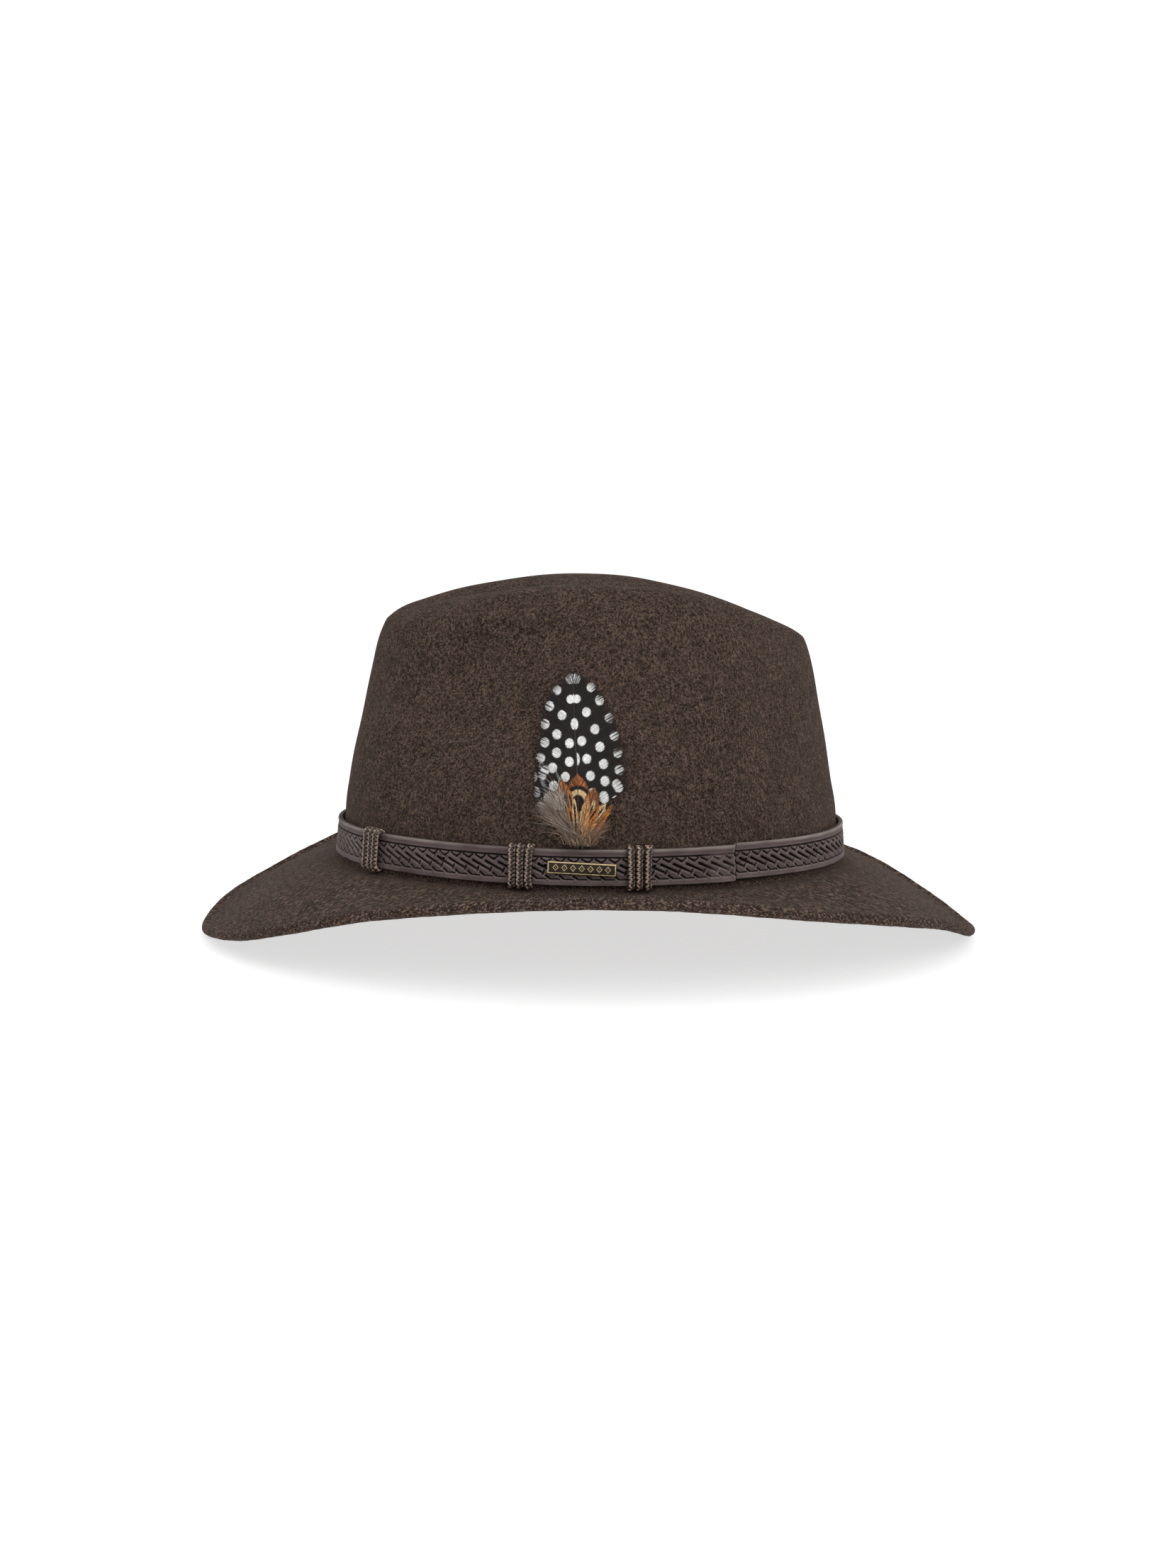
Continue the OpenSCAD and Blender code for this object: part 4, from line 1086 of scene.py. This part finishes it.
def spots(C, A, rows, r=(1.72, 1.98)):
    """Nearest-dot coverage, 1 inside a dot. rows: (centre across, centre along, size)."""
    out = np.zeros(C.shape)
    for c, a, k in rows:
        d = np.hypot((C - c) / (r[0] * k), (A - a) / (r[1] * k))
        out = np.maximum(out, 1 - ramp(d, 0.93, 1.05))
    return out


def dot_rows(first, step1, step2):
    """Dots stand in rows of up to three that follow the barbs, up and out from the shaft."""
    rows = []
    for c, a, n in first:
        rows.append((c, a, 0.97))
        if n > 1:
            rows.append((c + step1[0], a - step1[1], 1.0))
        if n > 2:
            rows.append((c + step1[0] + step2[0], a - step1[1] - step2[1], 1.0))
    return rows


def build_guinea_main():
    h = Heap()
    hwl = widths((0, 0.6), (1, 2.6), (3, 4.9), (6, 7.6), (9, 9.8), (13, 11.8), (18, 13.3), (24, 14.2), (29, 14.7), (33, 15.4), (38, 15.2), (43, 14), (48, 12), (53, 8), (60, 3))
    hwr = widths((0, 0.6), (1, 3.2), (3, 6.2), (6, 9.2), (9, 11.2), (12, 12.9), (18, 15.2), (25, 17.8), (32, 19.0), (39, 19.4), (45, 20.6), (50, 18.6), (54, 14), (60, 5))
    right = dot_rows([(6.9, 6.0, 1), (4.8, 15.7, 2), (2.5, 26.9, 3), (4.1, 33.9, 3), (5.1, 40.6, 3), (5.3, 47.3, 3), (9.7, 48.7, 2), (14.4, 50.6, 1), (4.6, 54.0, 3)], (5.25, 4.4), (5.75, 4.1))
    left = dot_rows([(6.3, 6.4, 1), (4.7, 16.3, 2), (2.3, 27.5, 3), (2.7, 34.7, 3), (4.6, 40.5, 3), (12.2, 37.4, 1), (4.6, 47.5, 3)], (4.7, 3.8), (4.4, 4.3))

    def col(C, A, u, side, rnd):
        m = spots(C, A, right if side > 0 else left)
        m = np.maximum(m, spots(C, A, [(1.25, 10.3, 0.78), (0.0, 10.3, 0.62)], (1.9, 2.2)))
        m = np.maximum(m, spots(C, A, [(0.0, 20.1, 1)], (1.45, 2.3)))
        m = np.maximum(m, spots(C, A, [(1.1, 2.3, 0.95)], (1.9, 2.2)) * (0.55 + 0.45 * np.sin(rnd * 40)))
        if side > 0:
            m = np.maximum(m, spots(C, A, [(0.3, 33.8, 1)], (1.1, 2.5)))
        streak = np.where(rnd < 0.36, 0.15, 1.0)
        m = m * lerp(1.0, streak, ramp(u, 0.72, 0.85))
        shade = 0.82 + 0.36 * rnd
        dark = NIGHT * shade[..., None] * (1 + 0.25 * ramp(u, 0.8, 1))[..., None]
        white = WHITE * (0.80 + 0.2 * rnd)[..., None]
        return lerp(dark, white, m[..., None])

    p = vane(h, 150, (-0.7, 8.0), (-4.8, 67.9), hug(3.35, 1.5, 8, 46), hwl, hwr, 0, col, steps=60, width=0.46, seed=21, clump=5.5, bend=-0.35)
    shaft(h, p, 0.12, 0.42, lin(58, 54, 52), ((8.4, 12.0), (17.9, 22.3)))
    # quill down behind the strap
    q = np.array([(0.69, 0, -9.0), (0.69, 0, -1.0), (0.75, 0, 0.6), (2.2, 0, 3.2), (3.3, -0.3, 6.2), (3.5, -0.75, 9.5)])
    v, f = tube(q, [0.22, 0.3, 0.32, 0.36, 0.4, 0.42], (1, 0, 0), 8)
    h.add(xf(WALL, v), f, tint=np.tile(lin(120, 112, 100), (len(v), 1)))
    h.done("guinea_feather_large", GUINEA, "feather_bunch", ("guinea_feather_main",), "guinea")


def build_guinea_under():
    h = Heap()
    hw = widths((0, 0.5), (2, 3.6), (6, 7.4), (12, 10.6), (20, 12.4), (28, 12.2), (36, 7), (40, 3))
    rows = dot_rows([(3.2, 8.0, 2), (3.0, 14.2, 3), (3.4, 20.4, 3), (3.6, 26.6, 3), (3.0, 32.8, 3)], (4.2, 3.7), (4.3, 3.4))

    def col(C, A, u, side, rnd):
        m = spots(C, A, rows, (1.75, 2.2))
        m = m * np.where(rnd < 0.10, 0.2, 1.0)
        dark = NIGHT * (0.9 + 0.5 * rnd)[..., None]
        grey = np.array(lin(120, 112, 108)) * (0.8 + 0.3 * rnd)[..., None]
        dark = lerp(dark, grey, (0.55 * ramp(A, 24, 36))[..., None])
        return lerp(dark, WHITE * 0.9, m[..., None])

    p = vane(h, 90, (-1.9, 4.0), (-10.8, 43.0), hug(1.45, 0.9, 8, 38), hw, hw, 0, col, steps=44, width=0.42, seed=5, clump=6.0, ang=(82, 52, 14), cup=0.1)
    shaft(h, p, 0.1, 0.3, lin(70, 66, 62))
    q = np.array([(0.69, -1.6, -9.0), (0.69, -1.6, -1.0), (0.8, -1.6, 2.0), (1.05, -1.7, 4.5)])
    v, f = tube(q, [0.2, 0.26, 0.28, 0.3], (1, 0, 0), 8)
    h.add(xf(WALL, v), f, tint=np.tile(lin(120, 112, 100), (len(v), 1)))
    # loose grey barbs at the lower front edge
    n = 70
    r = np.random.default_rng(77)
    u = np.linspace(0, 1, 14)
    y0, z0 = r.uniform(-6, -3, n), r.uniform(10, 20, n)
    a = np.radians(r.uniform(112, 160, n))
    L = r.uniform(10, 17, n) * (1 - 0.2 * (a > 2.5))
    curl = r.normal(0, 0.35, n)
    ang = a[:, None] + curl[:, None] * u[None]
    Y = y0[:, None] + np.cumsum(np.cos(ang) * L[:, None] / 14, 1)
    Z = z0[:, None] + np.cumsum(np.sin(ang) * L[:, None] / 14, 1)
    X = 1.9 + r.uniform(0, 1.3, (n, 1)) - Y * Y / 245 + 0.8 * u[None] ** 2 * r.normal(0, 1, (n, 1)) * 0.5
    v, f = ribbons(np.stack([X, Y, Z], -1), np.broadcast_to([1.0, 0, 0], (n, 14, 3)), (0.24 * (1 - 0.7 * u))[None] * np.ones((n, 1)), 0.05)
    base = np.array(lin(124, 114, 106))
    tint = base[None, None] * r.uniform(0.5, 1.5, (n, 1, 1)) * np.ones((n, 14, 1))
    white = (r.random((n, 1)) < 0.35) * (1 - ramp(np.abs(u - 0.72), 0.1, 0.2))[None]
    tint = lerp(tint, np.broadcast_to(WHITE * 0.75, tint.shape), white[..., None])
    h.add(xf(WALL, v), f, tint=np.repeat(tint[:, :, None], 3, 2).reshape(-1, 3))
    h.done("guinea_feather_small", GUINEA, "feather_bunch", ("guinea_feather_under",), "guinea")


RUST, ORANGE = np.array(lin(158, 96, 54)), np.array(lin(192, 124, 62))
CREAM, BLACK = np.array(lin(226, 194, 148)), np.array(lin(22, 17, 15))
BROWN, TEAL = np.array(lin(112, 78, 52)), np.array(lin(30, 56, 50))


def tone(c, rnd, lo=0.75, hi=1.25):
    mid = (lo + hi) / 2
    return c * (mid + 2.1 * (hi - lo) * (rnd - 0.5)).clip(0.12, 1.9)[..., None]


def build_pheasants():
    # central feather: rust tip, black bar, cream ring round a dark eye
    def col1(C, A, u, side, rnd):
        r = np.hypot(C, (A - 10.3) * 0.86)
        c = tone(lerp(RUST, BROWN, (0.5 * ramp(C, 3.2, 5.6))[..., None] * np.ones(3)), rnd, 0.72, 1.3)
        up = A < 12
        c = lerp(c, BLACK, ((1 - ramp(r, 5.2, 5.7)) * up)[..., None])
        c = lerp(c, tone(CREAM, rnd, 0.8, 1.1), (1 - ramp(r, 3.9, 4.3))[..., None] * np.ones(3))
        inner = (1 - ramp(r, 2.2, 2.6))
        c = lerp(c, BLACK, inner[..., None])
        low = ramp(A, 11, 13)
        stripes = np.where(C < 1.3, 0, np.where(C < 2.4, 1, np.where(C < 3.3, 0, 1)))
        pat = np.where(stripes[..., None] == 1, tone(lerp(CREAM, ORANGE, ramp(A, 13, 18)[..., None]), rnd, 0.8, 1.15), BLACK * 1.2)
        c = lerp(c, pat, low[..., None])
        teal = (side > 0) * (rnd > 0.35) * (1 - ramp(np.abs(C - 2.6), 0.3, 0.9)) * ramp(A, 13, 15)
        c = lerp(c, TEAL, (0.7 * teal)[..., None])
        return lerp(c, tone(BROWN, rnd, 0.8, 1.3), ramp(A, 19, 24)[..., None])

    hw = widths((0, 0.3), (1, 1.7), (3, 3.3), (6, 4.8), (10, 5.3), (15, 4.9), (20, 3.6), (26, 1.5))
    h = Heap()
    p = vane(h, 70, (-1.4, 4.0), (-2.1, 27.8), 4.55, hw, hw, 0, col1, steps=30, width=0.46, seed=31, clump=3.0, ang=(86, 58, 9), kappa=1.2, cup=-0.6, wander=0.12)
    shaft(h, p, 0.08, 0.25, lin(90, 66, 46))
    h.done("pheasant_feather_centre", PHEASANT, "feather_bunch", ("pheasant_feather_1",), "pheasant")

    def col2(C, A, u, side, rnd):
        c = tone(lerp(RUST, ORANGE, 0.25), rnd, 0.6, 1.25)
        c = lerp(c, BLACK * 1.5, ((1 - ramp(C, 0.3, 1.1)) * ramp(A, 3.5, 6) * 0.85)[..., None])
        c = lerp(c, np.array(lin(150, 120, 96)), (0.7 * ramp(C, 1.9, 2.7) * ramp(A, 3, 8))[..., None])
        return lerp(c, tone(BROWN, rnd, 0.7, 1.3), ramp(A, 15, 21)[..., None])

    h = Heap()
    hw = widths((0, 0.3), (1, 1.2), (3, 2.1), (7, 2.9), (12, 3.1), (18, 2.2), (24, 1.0))
    p = vane(h, 56, (-2.6, 4.4), (-8.0, 25.5), 5.2, hw, hw, 0, col2, steps=24, width=0.44, seed=32, clump=5.0, ang=(86, 64, 8), kappa=0.9, wander=0.15, bend=-0.8)
    shaft(h, p, 0.08, 0.2, lin(84, 62, 44))
    h.done("pheasant_feather_front", PHEASANT, "feather_bunch", ("pheasant_feather_2",), "pheasant")

    def col3(C, A, u, side, rnd):
        c = tone(ORANGE, rnd, 0.7, 1.25)
        dark = 1 - ramp(C, 0.9, 1.5)
        c = lerp(c, BLACK * 1.3, (dark * ramp(A, 1.6, 3.2))[..., None])
        c = lerp(c, tone(CREAM, rnd, 0.85, 1.1), ((1 - ramp(A, 1.2, 2.2)) * 0.9)[..., None])
        return lerp(c, tone(BROWN, rnd, 0.8, 1.3), ramp(A, 10, 16)[..., None])

    h = Heap()
    hw = widths((0, 0.6), (1, 1.7), (3, 2.6), (7, 2.7), (12, 1.9), (18, 0.9))
    p = vane(h, 46, (2.4, 3.6), (7.7, 15.9), 5.7, hw, hw, 0, col3, steps=24, width=0.44, seed=33, clump=6.0, ang=(80, 60, 7), kappa=1.0, wander=0.2)
    shaft(h, p, 0.08, 0.2, lin(96, 70, 44))
    p = vane(h, 40, (3.0, 3.4), (10.8, 15.8), 5.5, widths((0, 0.3), (2, 1.0), (8, 1.3), (16, 0.8)), widths((0, 0.3), (2, 1.0), (8, 1.3), (16, 0.8)), 0,
             lambda C, A, u, s, r: tone(lerp(ORANGE, RUST, 0.5), r, 0.7, 1.3), steps=16, width=0.4, seed=34, clump=5, ang=(84, 66, 6), wander=0.2)
    p = vane(h, 40, (1.2, 4.0), (5.6, 12.6), 6.1, widths((0, 0.3), (2, 1.2), (8, 1.4), (16, 0.8)), widths((0, 0.3), (2, 1.2), (8, 1.4), (16, 0.8)), 0,
             lambda C, A, u, s, r: tone(lerp(ORANGE, CREAM, 0.25), r, 0.6, 1.2), steps=16, width=0.4, seed=35, clump=5, ang=(84, 66, 6), wander=0.2)
    h.done("pheasant_feather_back", PHEASANT, "feather_bunch", ("pheasant_feather_3",), "pheasant")

    def col4(C, A, u, side, rnd):
        c = tone(lerp(RUST, BROWN, 0.35), rnd, 0.7, 1.3)
        c = lerp(c, tone(ORANGE, rnd), (0.6 * ramp(A, 8, 11))[..., None])
        c = lerp(c, BLACK * 1.3, ((1 - ramp(np.abs(C - 1.2), 0.3, 0.8)) * ramp(A, 7, 10) * 0.9)[..., None])
        return lerp(c, tone(BROWN, rnd, 0.8, 1.3), ramp(A, 15, 20)[..., None])

    h = Heap()
    hw = widths((0, 0.4), (1, 1.6), (3, 2.6), (7, 3.0), (12, 2.6), (18, 1.5), (22, 0.8))
    p = vane(h, 56, (0.6, 3.8), (4.2, 22.4), 5.0, hw, hw, 0, col4, steps=24, width=0.44, seed=36, clump=5.0, ang=(86, 62, 8), kappa=1.0, wander=0.15)
    shaft(h, p, 0.08, 0.2, lin(96, 70, 48))
    p = vane(h, 44, (0.2, 3.0), (1.9, 18.6), 6.4, widths((0, 0.3), (2, 1.1), (8, 1.6), (16, 0.9)), widths((0, 0.3), (2, 1.1), (8, 1.6), (16, 0.9)), 0,
             lambda C, A, u, s, r: tone(lerp(ORANGE, CREAM, 0.3), r, 0.7, 1.2), steps=18, width=0.4, seed=37, clump=4, ang=(84, 66, 6), wander=0.15)
    # slender hackles lying over the roots, orange and cream edged, dark along the middle
    r = np.random.default_rng(91)
    amber, cream = np.array(lin(196, 122, 56)), np.array(lin(222, 190, 140))
    slim = widths((0, 0.15), (1.2, 0.62), (4, 0.95), (9, 0.85), (16, 0.45))
    for k, (y, z) in enumerate(((-7.2, 17.4), (-5.6, 22.2), (-4.9, 16.2), (-3.4, 18.6), (-2.6, 12.6), (-0.6, 13.8), (1.0, 17.2), (2.0, 20.2), (3.0, 15.0), (4.6, 18.2), (5.2, 13.6), (6.4, 16.4), (8.8, 16.8), (9.8, 13.6))):
        edge = cream if k % 3 == 0 else amber
        mid = TEAL * 0.8 if k % 4 == 1 else BLACK

        def col5(C, A, u, side, rnd, edge=edge, mid=mid):
            c = tone(edge, rnd, 0.8, 1.2)
            c = lerp(c, mid, ((1 - ramp(C, 0.30, 0.52)) * ramp(A, 1.5, 3.0))[..., None])
            return lerp(c, tone(BROWN * 0.8, rnd, 0.7, 1.3), ramp(A, 8.5, 14)[..., None])

        b0 = (-1.4 + 0.20 * y, 3.6 + 0.5 * r.random())
        p = vane(h, 22, b0, (y, z), 5.9 + 0.12 * (k % 4), slim, slim, 0, col5, steps=9, width=0.5, seed=50 + k, clump=3, ang=(86, 70, 5), wander=0.08, bend=0.5 * math.sin(k * 2.1))
        shaft(h, p, 0.06, 0.14, mid)
    h.done("pheasant_feather_side", PHEASANT, "feather_bunch", ("pheasant_feather_4",), "pheasant")


def fluff(h, n, base, spread, ang, length, X, cols, seed, curl=1.0, steps=16, w=0.16, barbules=True):
    """Soft curling strands fanning from a base line."""
    r = np.random.default_rng(seed)
    u = np.linspace(0, 1, steps)
    a = np.radians(np.clip(r.normal(ang[0], ang[1], n), ang[0] - 2.2 * ang[1], ang[0] + 2.2 * ang[1]))
    L = length[0] + (length[1] - length[0]) * r.random(n)
    y0 = base[0] + spread[0] * r.normal(0, 1, n)
    z0 = base[1] + spread[1] * np.abs(r.normal(0, 1, n))
    k1, k2, ph = r.normal(0, 0.7, n) * curl, r.uniform(4, 11, n), r.uniform(0, 6.28, n)
    th = a[:, None] + k1[:, None] * u[None] + 0.35 * curl * np.sin(k2[:, None] * u[None] + ph[:, None])
    Y = y0[:, None] + np.cumsum(np.cos(th) * L[:, None] / steps, 1)
    Z = z0[:, None] + np.cumsum(np.sin(th) * L[:, None] / steps, 1)
    out = X[0] + (X[1] - X[0]) * r.random((n, 1))
    Xp = out + (r.normal(0, 0.9, (n, 1))) * u[None] ** 1.5 + 0.25 * np.sin(u[None] * 9 + ph[:, None])
    Xp = np.maximum(Xp, 0.9) - Y * Y / 245
    wid = (w * (1 - 0.75 * u))[None] * r.uniform(0.6, 1.4, (n, 1))
    nn = np.stack([np.ones((n, steps)), 0.5 * np.sin(ph[:, None] + 5 * u), 0.5 * np.cos(ph[:, None] + 4 * u)], -1)
    v, f = ribbons(np.stack([Xp, Y, Z], -1), nn, wid, 0.04)
    c = np.array(cols)
    i = r.integers(0, len(c), n)
    tint = c[i][:, None] * r.uniform(0.22, 1.65, (n, 1, 1)) * (1 + 0.25 * u)[None, :, None]
    h.add(xf(WALL, v), f, tint=np.repeat(tint[:, :, None], 3, 2).reshape(-1, 3))


def build_down():
    grey = [lin(128, 108, 94), lin(150, 130, 114), lin(92, 74, 62), lin(176, 156, 140), lin(136, 108, 84)]
    h = Heap()
    fluff(h, 430, (-2.6, 3.0), (0.8, 1.4), (131, 9), (12, 20), (4.6, 6.6), grey, 41, curl=0.5, w=0.20)
    fluff(h, 150, (-8.6, 13.6), (1.5, 2.2), (118, 20), (4, 8), (5.2, 7.0), [lin(196, 184, 172), lin(160, 144, 130)], 42, curl=0.8, w=0.18)
    fluff(h, 60, (-2.4, 4.5), (0.8, 1.6), (138, 16), (14, 20), (4.0, 6.6), [lin(150, 140, 132), lin(110, 98, 90)], 43, curl=0.3, w=0.14)
    h.done("down_grey_fan", DOWN, "feather_bunch", ("down_tuft_grey",), "down_grey")
    warm = [lin(122, 94, 70), lin(150, 118, 88), lin(92, 70, 52), lin(176, 146, 112), lin(72, 54, 42)]
    h = Heap()
    fluff(h, 420, (0.0, 0.2), (2.3, 0.6), (92, 21), (5, 10), (4.2, 6.6), warm, 44, curl=1.2, w=0.20)
    fluff(h, 230, (0.8, 0.4), (1.6, 0.8), (66, 12), (8, 13), (4.2, 6.4), [lin(170, 108, 58), lin(134, 94, 62), lin(100, 72, 50)], 45, curl=0.6, w=0.20)
    fluff(h, 220, (-1.6, 0.4), (1.6, 0.8), (112, 13), (8, 13), (4.4, 6.6), [lin(120, 96, 76), lin(146, 120, 96), lin(88, 70, 56)], 46, curl=0.7, w=0.20)
    # one barb that curls right round near the strap
    for k, (cy, cz, r0) in enumerate(((1.0, 3.4, 2.1), (1.3, 3.1, 1.6), (0.7, 3.2, 2.5))):
        a = np.linspace(-0.6, 4.0, 34)
        rr = r0 * (1 - 0.12 * a)
        p = np.stack([7.0 + 0.1 * k - 0 * a, cy + rr * np.cos(a), cz + rr * np.sin(a)], -1)
        v, f = tube(p, np.linspace(0.12, 0.05, 34), (1, 0, 0), 5)
        h.add(xf(WALL, v), f, tint=np.tile(lin(176, 142, 104), (len(v), 1)))
    h.done("down_brown_tuft", DOWN, "feather_bunch", ("down_tuft_brown",), "down_brown")


def build_tab_binding():
    M = TUCK @ Matrix.Translation((0.08, 0, 0))
    ny, nz = 30, 30
    y, z = np.meshgrid(np.linspace(-6, 6, ny), np.linspace(2.2, 13.8, nz))
    r = 0.02 * smooth_noise(y * 2, z * 2, 17)
    a = np.stack([0.36 + r, y, z], -1).reshape(-1, 3)
    b = np.stack([0.0 - r, y, z], -1).reshape(-1, 3)
    n = nz * ny
    top = quads(nz, ny, wrap_u=False)
    edge = np.concatenate([np.arange(ny), np.arange(1, nz) * ny + ny - 1, (nz - 1) * ny + np.arange(ny - 2, -1, -1), np.arange(nz - 2, 0, -1) * ny])
    e2 = np.roll(edge, -1)
    make("feather_backing_felt", xf(M, np.concatenate([a, b])), [top, top[:, ::-1] + n, np.stack([edge, edge + n, e2 + n, e2], -1)[:, ::-1]], BACKING, "feather_bunch", ("feather_backing_tab",), "backing")
    h = Heap()
    a = np.linspace(0, 2 * np.pi * 9, 300)
    p = np.stack([1.95 + 1.25 * np.cos(a), -0.7 + 1.25 * np.sin(a), 1.7 + 2.2 * a / a[-1]], -1)
    v, f = tube(p, 0.17, (0, 0, 1), 6)
    h.add(xf(WALL, v), f)
    v, f = tube(np.array([(1.95, -0.7, 1.5), (1.95, -0.7, 2.8), (1.95, -0.7, 4.1)]), 1.15, (1, 0, 0), 20)
    h.add(xf(WALL, v), f)
    h.done("feather_binding_thread", BINDING, "feather_bunch", ("feather_binding",), "binding")


build_felt()
build_sweatband()
build_bow_label()
build_strap()
build_cords("cord_keeper_front", CORDS[0], "cord_wrap_front", "cord_front", 1)
build_cords("cord_keeper_mid", CORDS[1], "cord_wrap_mid", "cord_mid", 2)
build_cords("cord_keeper_rear", CORDS[2], "cord_wrap_rear", "cord_rear", 3)
build_badge()
build_guinea_under()
build_guinea_main()
build_pheasants()
build_down()
build_tab_binding()


# ------------------------------------------------------------------ floor, light and camera
def studio():
    m = Mat("studio_floor", rough=0.9, spec=0.1)
    m.base((0.42, 0.42, 0.42))
    m.put(m.b, "Emission Color", (1.0, 1.0, 1.0))
    m.put(m.b, "Emission Strength", 0.66)
    # open from below so the underside of the brim can be seen
    g = m.n("ShaderNodeNewGeometry")
    m.put(m.b, "Alpha", m.math("SUBTRACT", 1.0, g.outputs["Backfacing"]))
    me = bpy.data.meshes.new("studio_floor")
    z, s = REST_Z * MM - 0.0002, 4.0
    me.from_pydata([(-s, -s, z), (s, -s, z), (s, s, z), (-s, s, z)], [], [(0, 1, 2, 3)])
    me.materials.append(m.m)
    o = bpy.data.objects.new("studio_floor", me)
    bpy.context.scene.collection.objects.link(o)

    w = bpy.data.worlds.new("studio")
    w.use_nodes = True
    t = w.node_tree
    bg = t.nodes["Background"]
    bg.inputs[0].default_value = (1.0, 1.0, 1.0, 1)
    # a soft white room: bright walls, dimmer ceiling
    co = t.nodes.new("ShaderNodeTexCoord")
    xyz = t.nodes.new("ShaderNodeSeparateXYZ")
    mr = t.nodes.new("ShaderNodeMapRange")
    mr.interpolation_type = "SMOOTHSTEP"
    for k, v in (("From Min", 0.15), ("From Max", 0.85), ("To Min", 0.50), ("To Max", 1.34)):
        mr.inputs[k].default_value = v
    t.links.new(co.outputs["Generated"], xyz.inputs[0])
    t.links.new(xyz.outputs["Z"], mr.inputs["Value"])
    lp = t.nodes.new("ShaderNodeLightPath")
    mx = t.nodes.new("ShaderNodeMix")
    mx.inputs[3].default_value = 1.02
    t.links.new(lp.outputs["Is Camera Ray"], mx.inputs[0])
    t.links.new(mr.outputs[0], mx.inputs[2])
    t.links.new(mx.outputs[0], bg.inputs[1])
    bpy.context.scene.world = w
    bpy.context.scene.view_settings.view_transform = "Standard"
    bpy.context.scene.view_settings.look = "None"

    def area(name, loc, target, size, power):
        d = bpy.data.lights.new(name, "AREA")
        d.energy, d.size, d.shape = power, size, "DISK"
        o = bpy.data.objects.new(name, d)
        o.location = loc
        o.rotation_euler = (Vector(target) - Vector(loc)).to_track_quat("-Z", "Y").to_euler()
        bpy.context.scene.collection.objects.link(o)

    area("key", (1.1, 0.7, 0.7), (0, 0, 0.03), 0.8, 4.1)
    area("front", (1.3, -0.1, 0.2), (0, 0, 0.03), 0.8, 2.35)

    a, e, r = -0.074, 0.1346, 0.0136
    fw = Vector((-math.cos(a) * math.cos(e), -math.sin(a) * math.cos(e), -math.sin(e)))
    rt = Vector((-math.sin(a), math.cos(a), 0))
    up = rt.cross(fw)
    r2 = rt * math.cos(r) + up * math.sin(r)
    u2 = -rt * math.sin(r) + up * math.cos(r)
    cd = bpy.data.cameras.new("photo_view")
    cd.lens = 51.07
    cd.sensor_width = 36.0
    cd.sensor_fit = "AUTO"
    cd.clip_start, cd.clip_end = 0.01, 20
    cam = bpy.data.objects.new("photo_view", cd)
    b = -fw
    cam.matrix_world = Matrix(((r2.x, u2.x, b.x, 0.9273), (r2.y, u2.y, b.y, -0.07035), (r2.z, u2.z, b.z, 0.156), (0, 0, 0, 1)))
    bpy.context.scene.collection.objects.link(cam)
    bpy.context.scene.camera = cam


studio()
